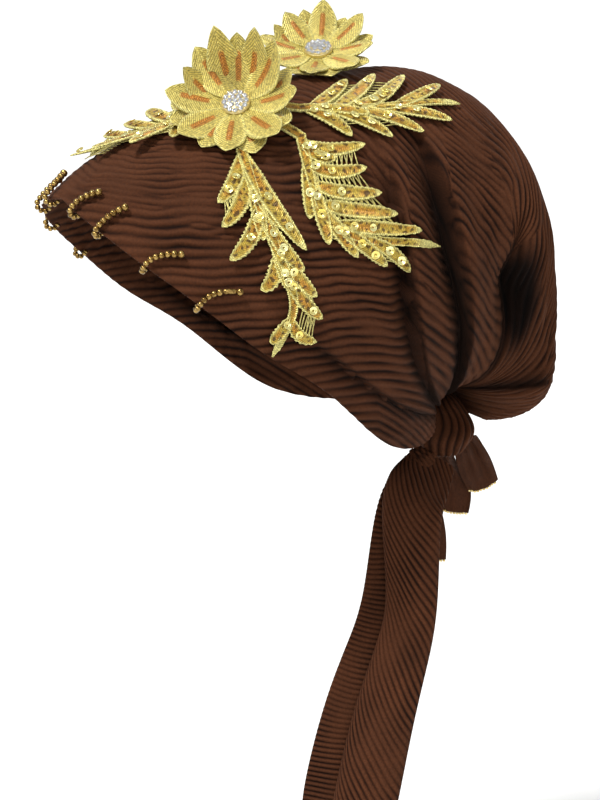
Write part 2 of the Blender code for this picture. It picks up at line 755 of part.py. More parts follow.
def build_all():
    clear_scene()
    crown = build_crown()
    build_knot()
    build_tail("long_tail", LONG_TAIL, TAIL_FOLD, LONG_TAIL_RIBS)
    drop = HEM_RADIUS + CLEARANCE
    for name, table in (("upper", UPPER_TAIL), ("middle", MIDDLE_TAIL), ("lower", LOWER_TAIL)):
        front, back, along = build_tail(name + "_tail", table, SHORT_FOLD, SHORT_TAIL_RIBS)
        path = hem_path((front, back), along, drop, 6)
        colour = material(name + "_hem_bead", BRONZE, 0.3, 0.9)
        build_tube(name + "_hem", path, HEM_RADIUS, colour)
    build_picots()
    for name in STEMS:
        build_spray(name)
    build_flowers(crown)


build_all()
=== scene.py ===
# %% [markdown]
# # A pleated turban, dressed round its frame
# The hat is a hollow crown of finely pleated brown cloth, gathered to a knot at the nape and
# finished with hanging tails, gold lace, two satin-stitched flowers and strings of bronze beads.
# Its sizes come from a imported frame. This script hangs detailed surfaces on that frame, and never
# moves it. Each piece is a numpy surface: a shape written as a function of two parameters.

# %% Load the frame
import math

import bpy
import numpy as np
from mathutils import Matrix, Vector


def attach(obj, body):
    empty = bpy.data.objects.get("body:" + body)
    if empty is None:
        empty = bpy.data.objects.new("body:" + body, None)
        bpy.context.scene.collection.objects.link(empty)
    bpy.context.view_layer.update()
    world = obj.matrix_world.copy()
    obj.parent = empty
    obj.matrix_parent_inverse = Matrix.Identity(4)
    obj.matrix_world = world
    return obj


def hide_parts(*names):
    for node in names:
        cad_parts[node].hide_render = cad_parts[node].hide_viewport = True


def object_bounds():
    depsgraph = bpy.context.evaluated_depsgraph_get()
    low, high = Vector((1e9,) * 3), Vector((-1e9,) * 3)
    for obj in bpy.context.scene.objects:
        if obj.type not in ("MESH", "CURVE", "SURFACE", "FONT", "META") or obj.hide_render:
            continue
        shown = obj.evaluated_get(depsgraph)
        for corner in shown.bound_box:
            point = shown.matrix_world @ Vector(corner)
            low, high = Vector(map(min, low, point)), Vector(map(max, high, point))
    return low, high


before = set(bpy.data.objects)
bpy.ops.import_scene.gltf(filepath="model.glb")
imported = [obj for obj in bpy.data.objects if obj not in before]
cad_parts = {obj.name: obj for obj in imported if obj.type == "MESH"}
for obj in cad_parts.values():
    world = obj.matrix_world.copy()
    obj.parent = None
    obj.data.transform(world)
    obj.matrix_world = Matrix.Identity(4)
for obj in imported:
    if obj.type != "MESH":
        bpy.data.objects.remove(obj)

frame_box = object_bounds()
print("nodes of the frame:", len(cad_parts))

# %% [markdown]
# ## The view
# A long lens from the side and slightly above keeps the proportions true. The numbers are an
# azimuth and elevation round a point inside the crown, so that they can be read as a photographer
# would say them. The floor is one pale sheet under the hat, which is held up as a head holds it.

# %% Camera
AZIMUTH = 62.0
ELEVATION = 15.0
DISTANCE = 1.30         # metres from the camera to LOOKED_AT
LENS, SENSOR = 117.0, 36.0      # millimetres
SIGHT = 60.0            # how far the camera sees, in metres
LOOKED_AT = np.array([0.0206, 0.0038, -0.0613])


def place_camera():
    """The camera stands at LOOKED_AT minus DISTANCE times the viewing direction."""
    swing, lift = math.radians(AZIMUTH), math.radians(ELEVATION)
    look = np.array([-math.sin(swing) * math.cos(lift), math.cos(swing) * math.cos(lift),
                     -math.sin(lift)])
    lens = bpy.data.cameras.new("side_view")
    lens.lens = LENS
    lens.sensor_fit = "VERTICAL"
    lens.sensor_height = SENSOR
    lens.clip_end = SIGHT
    camera = bpy.data.objects.new("side_view", lens)
    camera.location = LOOKED_AT - look * DISTANCE
    camera.rotation_euler = (math.pi / 2 - lift, 0.0, swing)
    bpy.context.scene.collection.objects.link(camera)
    bpy.context.scene.camera = camera
    return camera


camera = place_camera()
print("camera at", [round(x, 3) for x in camera.location])

# %% Floor
FLOOR_DROP = 0.11       # the floor lies this far under the lowest tail
FLOOR_SIZE = 60.0


def new_material(name):
    """A material, its node tree and the Principled shader in it."""
    surface = bpy.data.materials.new(name)
    surface.use_nodes = True
    return surface, surface.node_tree, surface.node_tree.nodes["Principled BSDF"]


def plain_material(name, colour, roughness):
    """One colour and one roughness all over."""
    surface, _, shader = new_material(name)
    shader.inputs["Base Color"].default_value = (*colour, 1.0)
    shader.inputs["Roughness"].default_value = roughness
    return surface


def lay_floor():
    """One big square, FLOOR_DROP under the frame."""
    height = frame_box[0][2] - FLOOR_DROP
    half = FLOOR_SIZE / 2
    mesh = bpy.data.meshes.new("floor")
    corners = [(-half, -half, height), (half, -half, height), (half, half, height),
               (-half, half, height)]
    mesh.from_pydata(corners, [], [(0, 1, 2, 3)])
    mesh.materials.append(plain_material("floor_paint", (0.86, 0.86, 0.85), 0.9))
    floor = bpy.data.objects.new("floor", mesh)
    bpy.context.scene.collection.objects.link(floor)


lay_floor()
print("floor at", round(frame_box[0][2] - FLOOR_DROP, 3), "m")

# %% [markdown]
# The light is even and has few hard shadows: a white sky, one broad sun high over the forehead,
# and two soft boxes, one on the side in view and one behind the head.

# %% Light
SKY_STRENGTH = 0.48


def hang_light(name, place, size, power, colour):
    """A square soft box at place, turned to look at the crown."""
    lamp = bpy.data.lights.new(name, "AREA")
    lamp.size = size
    lamp.energy = power
    lamp.color = colour
    box = bpy.data.objects.new(name, lamp)
    box.location = place
    aim = np.array(place) - LOOKED_AT
    flat = math.hypot(aim[0], aim[1])
    box.rotation_euler = (math.atan2(flat, aim[2]), 0.0, math.atan2(aim[1], aim[0]) + math.pi / 2)
    bpy.context.scene.collection.objects.link(box)


def hang_sun(name, swing, lift, strength, softness):
    """A broad sun: it comes from this compass swing and height, and lights the whole floor."""
    lamp = bpy.data.lights.new(name, "SUN")
    lamp.energy = strength
    lamp.angle = math.radians(softness)
    sun = bpy.data.objects.new(name, lamp)
    sun.rotation_euler = (math.radians(90 - lift), 0.0, math.radians(swing))
    bpy.context.scene.collection.objects.link(sun)


hang_sun("key_sun", swing=12.0, lift=62.0, strength=3.1, softness=12.0)
hang_light("side_box", (1.5, -0.5, 0.9), size=0.7, power=7.0, colour=(1.0, 0.985, 0.96))
hang_light("back_box", (-1.2, 1.2, 1.1), size=1.0, power=9.0, colour=(0.97, 0.985, 1.0))
world = bpy.data.worlds.new("studio")
world.use_nodes = True
sky = world.node_tree.nodes["Background"].inputs
sky["Color"].default_value = (1.0, 1.0, 1.0, 1.0)
sky["Strength"].default_value = SKY_STRENGTH
bpy.context.scene.world = world
bpy.context.scene.view_settings.view_transform = "Standard"
print("light: a white sky, one broad sun, two soft boxes")

# %% [markdown]
# ## Tools for surfaces
# A surface here is a grid of points with shape (rows, columns, 3). The helpers below give it
# faces, turn them outward, and carry numbers with it that the cloth material reads: `pleat`, a
# count of pleats that rises by 1 from ridge to ridge, `octave`, how often that count is doubled,
# and `depth`, how strong the pleats are. A UV map in metres carries the weave.

# %% Small helpers
def unit(vectors):
    """Each vector divided by its own length."""
    return vectors / np.maximum(np.linalg.norm(vectors, axis=-1, keepdims=True), 1e-12)


def ease(x):
    """A smooth step: 0 before 0, 1 after 1, and 3x2 - 2x3 between."""
    x = np.clip(x, 0.0, 1.0)
    return x * x * (3 - 2 * x)


def run_along(points):
    """How far it is to each point of a line, the sum of the steps up to there."""
    return np.concatenate([[0], np.cumsum(np.linalg.norm(np.diff(points, axis=0), axis=1))])


def circle(side, other, count):
    """The directions side cos(spin) + other sin(spin), count of them in one full turn."""
    spin = 2 * math.pi * np.arange(count) / count
    return side * np.cos(spin)[:, None] + other * np.sin(spin)[:, None]


def curve_through(x, knots, values):
    """Natural cubic curve through (knots, values): each stretch is a cubic whose second
    derivative is a straight line between the bends at its two ends."""
    knots = np.asarray(knots, float)
    values = np.asarray(values, float)
    step = np.diff(knots)
    slopes = np.diff(values) / step
    matrix = np.eye(len(knots))
    target = np.zeros(len(knots))
    inner = np.arange(1, len(knots) - 1)
    matrix[inner, inner - 1] = step[:-1]
    matrix[inner, inner] = 2 * (step[:-1] + step[1:])
    matrix[inner, inner + 1] = step[1:]
    target[inner] = 6 * np.diff(slopes)
    bend = np.linalg.solve(matrix, target)
    x = np.asarray(x, float)
    i = np.clip(np.searchsorted(knots, x) - 1, 0, len(step) - 1)
    ahead, back = knots[i + 1] - x, x - knots[i]
    cubic = (bend[i] * ahead**3 + bend[i + 1] * back**3) / (6 * step[i])
    left = (values[i] / step[i] - bend[i] * step[i] / 6) * ahead
    right = (values[i + 1] / step[i] - bend[i + 1] * step[i] / 6) * back
    return cubic + left + right


def grid_faces(rows, columns, ring=False):
    """Indices of the four corners of every cell of a grid, joined side to side if ring."""
    i, j = np.meshgrid(np.arange(rows - 1), np.arange(columns if ring else columns - 1),
                       indexing="ij")
    k = (j + 1) % columns
    cells = [i * columns + j, i * columns + k, (i + 1) * columns + k, (i + 1) * columns + j]
    return np.stack(cells, axis=-1).reshape(-1, 4)


def ring_steps(values):
    """Steps down a grid and round its closed rows, by central differences."""
    wide = np.concatenate([values[:, -1:], values, values[:, :1]], axis=1)
    return np.gradient(values, axis=0), (wide[:, 2:] - wide[:, :-2]) / 2


def wander(x, y, seed, waves=6):
    """Smooth noise from -1 to 1: a sum of sine waves that run in drawn directions."""
    draw = np.random.default_rng(seed)
    total = 0.0
    for _ in range(waves):
        way, shift = draw.uniform(0, 2 * math.pi, 2)
        pace = draw.uniform(0.6, 1.6)
        total = total + np.sin(pace * (x * math.cos(way) + y * math.sin(way)) * 6.28 + shift)
    return total / waves * 1.6


# %% Mesh maker
def add_piece(name, points, faces, surfaces, slot, nodes=(), values=None, uv=None, picks=None,
              smooth=True):
    """One mesh piece from points and faces. Its signed volume, the sum of corner triple
    products over its faces, has to be positive, or every face is turned over."""
    mesh = bpy.data.meshes.new(name)
    points = np.asarray(points, float).reshape(-1, 3)
    mesh.from_pydata(points, [], faces)
    for surface in surfaces if isinstance(surfaces, (list, tuple)) else [surfaces]:
        mesh.materials.append(surface)
    if picks is not None:
        mesh.polygons.foreach_set("material_index", np.asarray(picks, np.int32))
    mesh.polygons.foreach_set("use_smooth", np.full(len(mesh.polygons), smooth))
    if uv is not None:
        corners = np.zeros(len(mesh.loops), np.int32)
        mesh.loops.foreach_get("vertex_index", corners)
        layer = mesh.uv_layers.new(name="cloth")
        layer.data.foreach_set("uv", np.asarray(uv, np.float32).reshape(-1, 2)[corners].ravel())
    for key, numbers in (values or {}).items():
        layer = mesh.attributes.new(key, "FLOAT", "POINT")
        layer.data.foreach_set("value", np.asarray(numbers, np.float32).ravel())
    mesh.update()
    mesh.calc_loop_triangles()
    corners = np.zeros(len(mesh.loop_triangles) * 3, np.int32)
    mesh.loop_triangles.foreach_get("vertices", corners)
    a, b, c = points[corners].reshape(-1, 3, 3).transpose(1, 0, 2)
    if np.einsum("ij,ij->i", a, np.cross(b, c)).sum() < 0:
        mesh.flip_normals()
    piece = bpy.data.objects.new(name, mesh)
    bpy.context.scene.collection.objects.link(piece)
    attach(piece, "root")
    if nodes:
        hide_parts(*nodes)
    print(f"{name}: {len(mesh.loop_triangles)} triangles")
    return piece


def add_sheet(name, front, wall, surface, slot, nodes, carried, uv):
    """A sheet of cloth: the front grid, and the same grid pushed back by the wall along its
    normals (one direction of the grid crossed with the other), joined round the four edges."""
    rows, columns = front.shape[:2]
    normals = unit(np.cross(np.gradient(front, axis=0), np.gradient(front, axis=1)))
    back = front - normals * wall
    faces = grid_faces(rows, columns)
    edge = np.concatenate([np.arange(columns), np.arange(2, rows) * columns - 1,
                           rows * columns - 1 - np.arange(columns),
                           np.arange(rows - 2, 0, -1) * columns])
    size = rows * columns
    after = np.roll(edge, -1)
    strip = np.stack([after, edge, edge + size, after + size], axis=-1)
    points = np.concatenate([front.reshape(-1, 3), back.reshape(-1, 3)])
    faces = np.concatenate([faces, faces[:, ::-1] + size, strip])
    both = {key: np.concatenate([numbers.ravel()] * 2) for key, numbers in carried.items()}
    uv = np.concatenate([uv.reshape(-1, 2), uv.reshape(-1, 2)])
    return add_piece(name, points, faces, surface, slot, nodes, both, uv)


print("surface tools ready")

# %% [markdown]
# ## The cloth
# The real cloth is a matt brown crepe, pleated by heat. Light is lost in the valleys and caught on
# the ridges, each thread is a little lighter or darker than the next, and a fine crinkle runs over
# it all. One node group makes those three things, with painted shade in the pleat valleys and in
# the creases and a painted highlight on the pleat ridges, so the crown, the knot and the tails can
# share it at their own strengths. It puts out only a colour, a roughness and a height for a Bump
# node.

# %% Node tools
def new_group(name, takes, gives):
    """A shader node group with named sockets, and its two end nodes."""
    group = bpy.data.node_groups.new(name, "ShaderNodeTree")
    for title, kind, value in takes:
        socket = group.interface.new_socket(title, in_out="INPUT", socket_type=kind)
        socket.default_value = value
    for title, kind in gives:
        group.interface.new_socket(title, in_out="OUTPUT", socket_type=kind)
    return group, group.nodes.new("NodeGroupInput"), group.nodes.new("NodeGroupOutput")


def feed(tree, node, **inputs):
    """Fills inputs of a node, by name or as i and a number: a socket is linked, the rest set."""
    for key, value in inputs.items():
        place = int(key[1:]) if key[0] == "i" and key[1:].isdigit() else key.replace("_", " ")
        if isinstance(value, bpy.types.NodeSocket):
            tree.links.new(value, node.inputs[place])
        else:
            node.inputs[place].default_value = value
    return node


def add_node(tree, kind, settings=(), **inputs):
    """A node of a kind with its settings and inputs."""
    node = tree.nodes.new("ShaderNode" + kind)
    for key, value in dict(settings).items():
        setattr(node, key, value)
    return feed(tree, node, **inputs)


def calc(tree, way, a, b=0.0, c=0.0):
    """The result of one Math node."""
    return add_node(tree, "Math", {"operation": way}, i0=a, i1=b, i2=c).outputs[0]


def between_0_and_1(tree, number):
    """The number, held to 0 below and to 1 above."""
    return calc(tree, "MINIMUM", calc(tree, "MAXIMUM", number, 0.0), 1.0)


def mesh_number(tree, name):
    """A number that the mesh carries under this name."""
    return add_node(tree, "Attribute", {"attribute_name": name}).outputs["Fac"]


def noise(tree, where, scale, detail=2.0, roughness=0.5):
    """Noise from 0 to 1 on Object coordinates."""
    return add_node(tree, "TexNoise", Vector=where.outputs["Object"], Scale=scale, Detail=detail,
                    Roughness=roughness).outputs["Fac"]


def blend(tree, share, first, second, way="MIX"):
    """From the first colour at share 0 to the second at 1."""
    return add_node(tree, "Mix", {"data_type": "RGBA", "blend_type": way}, i0=share, i6=first,
                    i7=second).outputs[2]


def ramp(tree, number, low, first, high, second):
    """The first colour up to low, the second from high on, and a ramp between."""
    shade = add_node(tree, "ValToRGB", Fac=number)
    for stop, place, colour in zip(shade.color_ramp.elements, (low, high), (first, second)):
        stop.position = place
        stop.color = (*colour, 1)
    return shade.outputs["Color"]


def relief(tree, height, strength, distance):
    """The normal of a Bump node."""
    return add_node(tree, "Bump", Height=height, Strength=strength,
                    Distance=distance).outputs["Normal"]


def group_material(name, group, settings, strength, distance, **finish):
    """A node group on a Principled shader: its colour, roughness, and height as relief."""
    surface, tree, shader = new_material(name)
    made = tree.nodes.new("ShaderNodeGroup")
    made.node_tree = group
    for title, value in settings.items():
        made.inputs[title].default_value = value
    feed(tree, shader, Base_Color=made.outputs["Colour"], Roughness=made.outputs["Roughness"],
         Normal=relief(tree, made.outputs["Height"], strength, distance), **finish)
    return surface


print("node tools ready")

# %% [markdown]
# Crepe could be painted as an image, but then it would blur up close and not follow the pleats.
# Here the colour, with its painted shade in the valleys, is worked out from the pleat count itself,
# so a dark valley always lies exactly in the valley of the mesh.

# %% Node group for crepe
OCTAVES = range(-2, 4)      # how often the count of pleats may be doubled, or halved below 0


def pleat_nodes(tree):
    """The pleat from 0 in its valley to 1 on its ridge, at every point of the surface: a raised
    cosine of the attribute pleat, at the octaves on either side of the attribute octave."""
    count, octave = mesh_number(tree, "pleat"), mesh_number(tree, "octave")
    total = 0.0
    for k in OCTAVES:
        wave = calc(tree, "COSINE", calc(tree, "MULTIPLY", count, 2 * math.pi * 2**k))
        ridge = calc(tree, "POWER", calc(tree, "MULTIPLY_ADD", wave, 0.5, 0.5), 0.75)
        away = calc(tree, "ABSOLUTE", calc(tree, "SUBTRACT", octave, float(k)))
        near = calc(tree, "MAXIMUM", calc(tree, "SUBTRACT", 1.0, away), 0.0)
        total = calc(tree, "MULTIPLY_ADD", near, ridge, total)
    return total


def crepe_group():
    """Colour = cloth colour, with painted shade where the pleat is low and in the creases, a
    painted highlight on the pleat ridges, and varied by fine and broad noise. Height = the pleat,
    crossed threads of the weave on the UV map and a crinkle."""
    group, start, end = new_group(
        "crepe",
        [("Colour", "NodeSocketColor", (0.1, 0.05, 0.03, 1)),
         ("Valley shade", "NodeSocketColor", (0.02, 0.01, 0.006, 1)),
         ("Threads per metre", "NodeSocketFloat", 1500.0),
         ("Pleat share", "NodeSocketFloat", 0.6),
         ("Ridge highlight", "NodeSocketFloat", 0.5)],
        [("Colour", "NodeSocketColor"), ("Roughness", "NodeSocketFloat"),
         ("Height", "NodeSocketFloat")])
    rib = calc(group, "MULTIPLY_ADD", calc(group, "SUBTRACT", pleat_nodes(group), 1.0),
               mesh_number(group, "depth"), 1.0)
    where = add_node(group, "TexCoord")
    broad = noise(group, where, 38.0, 3.0)
    fine = noise(group, where, 900.0, 4.0, 0.65)
    spread = add_node(group, "VectorMath", {"operation": "SCALE"}, i0=where.outputs["UV"],
                      Scale=start.outputs["Threads per metre"])
    weave = add_node(group, "TexBrick", {"offset": 0.5, "squash": 1.0}, Vector=spread.outputs[0],
                     Color1=(0.95, 0.95, 0.95, 1), Color2=(0.7, 0.7, 0.7, 1), Mortar=(0, 0, 0, 1),
                     Scale=1.0, Mortar_Size=0.16, Mortar_Smooth=0.8, Brick_Width=0.9,
                     Row_Height=0.5).outputs["Fac"]
    # Painted shade in the creases and the hollow, read from the mesh number crease.
    unshaded_share = calc(group, "MULTIPLY_ADD", mesh_number(group, "crease"), -0.93, 1.0)
    # Painted shade in the pleat valleys: the valley shade colour where the pleat is low, the cloth
    # colour on the ridge.
    shade = ramp(group, rib, 0.02, (0, 0, 0), 0.70, (1, 1, 1))
    mixed = blend(group, shade, start.outputs["Valley shade"], start.outputs["Colour"])
    lit = calc(group, "MULTIPLY_ADD", broad, 0.9, 0.52)
    # Fine noise over the colour, the same noise that makes the crinkle in the height.
    fine_tone = calc(group, "MULTIPLY_ADD", fine, 1.5, 0.25)
    thread = calc(group, "MULTIPLY_ADD", weave, -0.25, 1.06)
    value = calc(group, "MULTIPLY", calc(group, "MULTIPLY", lit, fine_tone), thread)
    value = calc(group, "MULTIPLY", value, unshaded_share)
    tone = add_node(group, "HueSaturation", Value=value, Color=mixed).outputs["Color"]
    # Painted highlight on the pleat ridges: a lighter brown screened on, kept out of the painted
    # crease shade.
    worn = calc(group, "MULTIPLY", calc(group, "POWER", rib, 3.0), start.outputs["Ridge highlight"])
    worn = calc(group, "MULTIPLY", worn, unshaded_share)
    height = calc(group, "MULTIPLY_ADD", weave, -0.06, calc(group, "MULTIPLY", fine, 0.22))
    feed(group, end, Colour=blend(group, worn, tone, (0.036, 0.015, 0.008, 1), "SCREEN"),
         Roughness=calc(group, "MULTIPLY_ADD", fine, 0.2, 0.74),
         Height=calc(group, "MULTIPLY_ADD", rib, start.outputs["Pleat share"], height))
    return group


def cloth_material(name, colour, valley, ridge_highlight, bump):
    """Crepe on a Principled shader, with a soft brown sheen from the fibre ends."""
    # The valley colour is the painted shade in the pleat valleys, and the number before bump sets
    # the painted highlight on the pleat ridges.
    settings = {"Colour": (*colour, 1), "Valley shade": (*valley, 1), "Threads per metre": 1500.0,
                "Ridge highlight": ridge_highlight}
    return group_material(name, CREPE, settings, bump, 0.0010, Sheen_Weight=0.03,
                          Sheen_Roughness=0.4, Sheen_Tint=(0.8, 0.45, 0.3, 1),
                          Specular_IOR_Level=0.10)


CREPE = crepe_group()
CROWN_CLOTH = cloth_material("crown_crepe", (0.060, 0.0190, 0.0070), (0.008, 0.0026, 0.0012),
                             ridge_highlight=0.6, bump=0.55)
TAIL_CLOTH = cloth_material("tail_crepe", (0.066, 0.0212, 0.0082), (0.009, 0.0030, 0.0014),
                            ridge_highlight=0.5, bump=0.55)
PLAIN_CLOTH = cloth_material("short_tail_crepe", (0.046, 0.0150, 0.0060), (0.022, 0.0070, 0.0030),
                             ridge_highlight=0.2, bump=0.7)
print("cloth materials:", CROWN_CLOTH.name, TAIL_CLOTH.name, PLAIN_CLOTH.name)

# %% [markdown]
# ## The crown's big shape
# The cloth is held at the nape and swings over the head like the pages of a book, so every pleat
# starts and ends at the knot. That gives natural coordinates: the angle of a page, 0 forward, 90
# up, 180 backward, and the turn along it, 0 at the middle of the head and 1 at the nape. The
# numbers in the tables are the frame's own, so this surface lies where the solid does.

# %% Pages of the crown
REACH = 0.240
HALF_WIDTH = 0.084
HINGE = (0.0, 0.096, -0.078)
THROAT = 0.010
LAST_PAGE = 204.0
# Angle of a page, its reach as a share of REACH, its half width as a share of HALF_WIDTH.
PAGES = np.array((
    (-20.0, 1.000, 0.920), (0.0, 1.005, 0.930), (32.1, 1.016, 0.973), (46.1, 0.908, 0.985),
    (57.8, 0.846, 0.998), (69.8, 0.781, 1.000), (84.6, 0.730, 0.999), (98.3, 0.628, 0.976),
    (112.1, 0.445, 0.880), (128.5, 0.275, 0.850), (152.5, 0.195, 0.742), (195.9, 0.100, 0.383),
    (206.0, 0.086, 0.267)))
# Turn, and the angle of the open edge there.
EDGE = np.array((
    (0.00, 31.0), (0.12, 29.6), (0.24, 27.8), (0.36, 25.2), (0.46, 21.8), (0.56, 17.0),
    (0.62, 9.5), (0.68, 0.0), (0.78, -9.0), (1.00, -14.0)))


def edge_angle(turn):
    """Page angle of the open edge."""
    return curve_through(np.abs(turn), EDGE[:, 0], EDGE[:, 1])


def page_radius(angle, turn):
    """Throat plus a raised cosine of the turn, which swells to the page's reach."""
    reach = REACH * curve_through(angle, PAGES[:, 0], PAGES[:, 1])
    return THROAT + (reach - THROAT) * (1 + np.cos(math.pi * turn)) / 2


def smooth_cloth(angle, turn):
    """A circle of page_radius in the plane of the page, widened by a sine of the turn."""
    radius = page_radius(angle, turn)
    side = HALF_WIDTH * curve_through(angle, PAGES[:, 0], PAGES[:, 2]) * np.sin(math.pi * turn)
    tilt = np.radians(angle)
    return np.stack([HINGE[0] + side, HINGE[1] - radius * np.cos(tilt),
                     HINGE[2] + radius * np.sin(tilt)], axis=-1)


def cloth_out(angle, turn):
    """Outward direction: across the page, crossed with the step from page to page."""
    along = smooth_cloth(angle + 0.5, turn) - smooth_cloth(angle - 0.5, turn)
    across = smooth_cloth(angle, turn + 0.004) - smooth_cloth(angle, turn - 0.004)
    return unit(np.cross(across, along))


fine_angles = np.linspace(-25, LAST_PAGE + 2, 900)
fine_arc = run_along(smooth_cloth(fine_angles, np.zeros(900)))


def arc_at(angle):
    """Length of the middle line of the crown up to this page, in metres."""
    return np.interp(angle, fine_angles, fine_arc)


print("middle line, rim to throat:", round(float(arc_at(LAST_PAGE) - arc_at(31.0)), 3), "m")

# %% [markdown]
# ## Folds
# Where the cloth is gathered, one panel slides under the next and leaves a crease. Ahead of a
# crease the cloth dips slowly, and behind it the upper panel stands up as a lip. Both are a height
# over the smooth crown that depends only on the distance from the crease's own line, so a crease is
# one row of a table. The frame has the same creases in a plainer form.

# %% Creases
CREASE_TURNS = (0.0, 0.3, 0.5, 0.7, 0.9)
# Angles of the crease at those turns, depth, reach of the dip ahead, lip behind, and how far it
# stands back, all in metres; the turn where it starts and the turn where it is full.
CREASES = {
    "ear": ((30, 29, 27.5, 18, 8), 0.0042, 0.0070, 0.0012, 0.0018, 0.42, 0.56),
    "drape": ((66, 63.5, 53, 36, 18), 0.0090, 0.0085, 0.0042, 0.0018, 0.20, 0.46),
    "side": ((70, 72, 67.5, 60, 44), 0.0130, 0.0095, 0.0052, 0.0019, 0.18, 0.40),
    "bag": ((98, 95, 88, 88, 84), 0.0030, 0.0030, 0.0030, 0.0080, 0.36, 0.50),
    "under": ((150, 146, 136, 124, 112), 0.0044, 0.0060, 0.0014, 0.0030, 0.42, 0.55),
}
# How dark the painted shade in the slit of each crease is, from 0 to 1.
CREASE_SHADE = {"ear": 0.75, "drape": 0.95, "side": 1.0, "bag": 0.85, "under": 0.9}
LIP_SPREAD = 0.010      # how far behind a crease its lip dies away, in metres
HOLLOW = (89.0, 0.585, 9.0, 0.100, 0.0200)   # centre angle and turn, spread in each, depth
SAG = (112.0, 0.50, 16.0, 0.16, 0.0035)      # the same for the slack below it
CAVE = (93.0, 0.585, 9.5, 0.135, 1.0)        # the same for the shade in the hollow


def crease_angle(name, turn):
    """The crease's own line, a little further back on the wearer's right side."""
    line = curve_through(np.abs(turn), CREASE_TURNS, CREASES[name][0])
    return line + 2.5 * np.sin(math.pi * turn) * (turn < 0)


def crease_fade(name, turn):
    """0 where the crease starts and 1 from where it is full."""
    first, full = CREASES[name][5:]
    return ease((np.abs(turn) - first) / (full - first))


def dent(angle, turn, place):
    """A bell-shaped hollow: depth times e to minus the squared distance in its own spreads."""
    middle, side, high, wide, depth = place
    return depth * np.exp(-((angle - middle) / high) ** 2
                          - ((np.abs(turn) - side) / wide) ** 2)


def crease_shadow(angle, turn):
    """1 in the slit of a crease and in the hollow, fading to 0 a few millimetres ahead of it and
    more sharply behind it: the painted shade that the cloth on either side casts there."""
    radius = page_radius(angle, turn)
    shade = ease(dent(angle, turn, CAVE) * 1.7 - 0.25) * panel_after("bag", angle, turn)
    for name in CREASES:
        far = np.radians(angle - crease_angle(name, turn)) * radius
        width = np.where(far < 0, CREASES[name][2] * 0.60, 0.0016)
        shade = np.maximum(shade, CREASE_SHADE[name] * crease_fade(name, turn)
                           * np.exp(-(far / width) ** 2))
    return shade


def fold_height(angle, turn):
    """Sum over the creases of minus depth ahead and a lip behind, each a bell curve of the
    distance from the crease, and smaller where the page is short."""
    radius = page_radius(angle, turn)
    shrink = np.clip(radius / 0.10, 0.15, 1.0)
    total = -dent(angle, turn, HOLLOW) - dent(angle, turn, SAG)
    for name, (_, depth, dip, lip, stand, _, _) in CREASES.items():
        far = np.radians(angle - crease_angle(name, turn)) * radius / shrink
        ahead = -depth * np.exp(-(far / dip) ** 2)
        behind = -depth * np.exp(-(far / (0.55 * stand)) ** 2)
        past = np.maximum(far - stand, 0)
        behind = behind + lip * ease(far / stand) * np.exp(-(past / LIP_SPREAD) ** 2)
        total = total + np.where(far < 0, ahead, behind) * crease_fade(name, turn) * shrink
    return total


print("creases:", ", ".join(CREASES))

# %% [markdown]
# ## Pleats
# The pleats of each panel run their own way: level along the side of the head and down to the
# knot near it, then steeper from panel to panel, and upright on the bag. A pleat is a level line
# of a field over the surface. The field sets the direction, and doubling or halving it wherever its
# lines spread or crowd keeps them one pleat apart, so pleats split and join as crinkled cloth does.

# %% Pleat fields
# Pleat spacing in metres on each panel.
FRONT_PITCH, MIDDLE_PITCH, REAR_PITCH, BAG_PITCH = 0.0043, 0.0044, 0.0040, 0.0034
# Slope of the pleats on the side of the middle and rear panels, in degrees below level, and the
# length added so that each meets the pleats of the top without a jump, in metres.
MIDDLE_SLOPE, MIDDLE_START = 36.0, 0.0246
REAR_SLOPE, REAR_START = 47.0, 0.0455


def panel_after(name, angle, turn):
    """0 before a crease and 1 after it: sharp where the crease is deep, gradual where it fades."""
    width = 14.0 - 13.2 * crease_fade(name, turn)
    return ease(0.5 + (angle - crease_angle(name, turn)) / width)


def pleat_field(angle, turn, place):
    """Pleats counted from a level line. Front: height, bent down toward the knot. Middle and
    rear: on top, the length of the middle line up to the page; on the side, the distance across
    lines of one slope, y sin + z cos. Bag: the length of the middle line alone."""
    y, z = place[..., 1], place[..., 2]
    front = z + 3.6 * np.maximum(y + 0.012, 0) ** 2
    front = front + 0.35 * np.maximum(y - 0.02, 0) * (1 - panel_after("ear", angle, turn))
    arc = arc_at(angle) - float(arc_at(59.0)) + 0.0935
    field = front / FRONT_PITCH
    for name, slope, start, pitch in (("drape", MIDDLE_SLOPE, MIDDLE_START, MIDDLE_PITCH),
                                      ("side", REAR_SLOPE, REAR_START, REAR_PITCH)):
        tilt = math.radians(slope)
        side = y * math.sin(tilt) + z * math.cos(tilt) + start
        low = ease((np.abs(turn) - 0.10) / 0.28)
        after = panel_after(name, angle, turn)
        field = field * (1 - after) + after * (arc * (1 - low) + side * low) / pitch
    after = panel_after("bag", angle, turn)
    return field * (1 - after) + after * arc / BAG_PITCH


def crowding(field, grid):
    """Length of the field's slope on the surface: pleats per metre, from the metric of the
    grid, (G u2 - 2F uv + E v2) / (EG - F2) under a square root."""
    down, across = ring_steps(grid)
    u, v = ring_steps(field)
    E, F, G = (down * down).sum(-1), (down * across).sum(-1), (across * across).sum(-1)
    area = np.maximum(E * G - F * F, 1e-14)
    return np.sqrt(np.maximum(G * u * u - 2 * F * u * v + E * v * v, 0) / area)


def octave_for(density, wanted):
    """How often the field is doubled, or halved below 0, to come near the wanted pleats per
    metre: a whole number nearly everywhere, with short ramps between."""
    octave = np.clip(np.log2(np.maximum(wanted / np.maximum(density, 1.0), 0.1)),
                     OCTAVES[0], OCTAVES[-1])
    low = np.floor(octave)
    return low + ease((octave - low - 0.3) / 0.4)


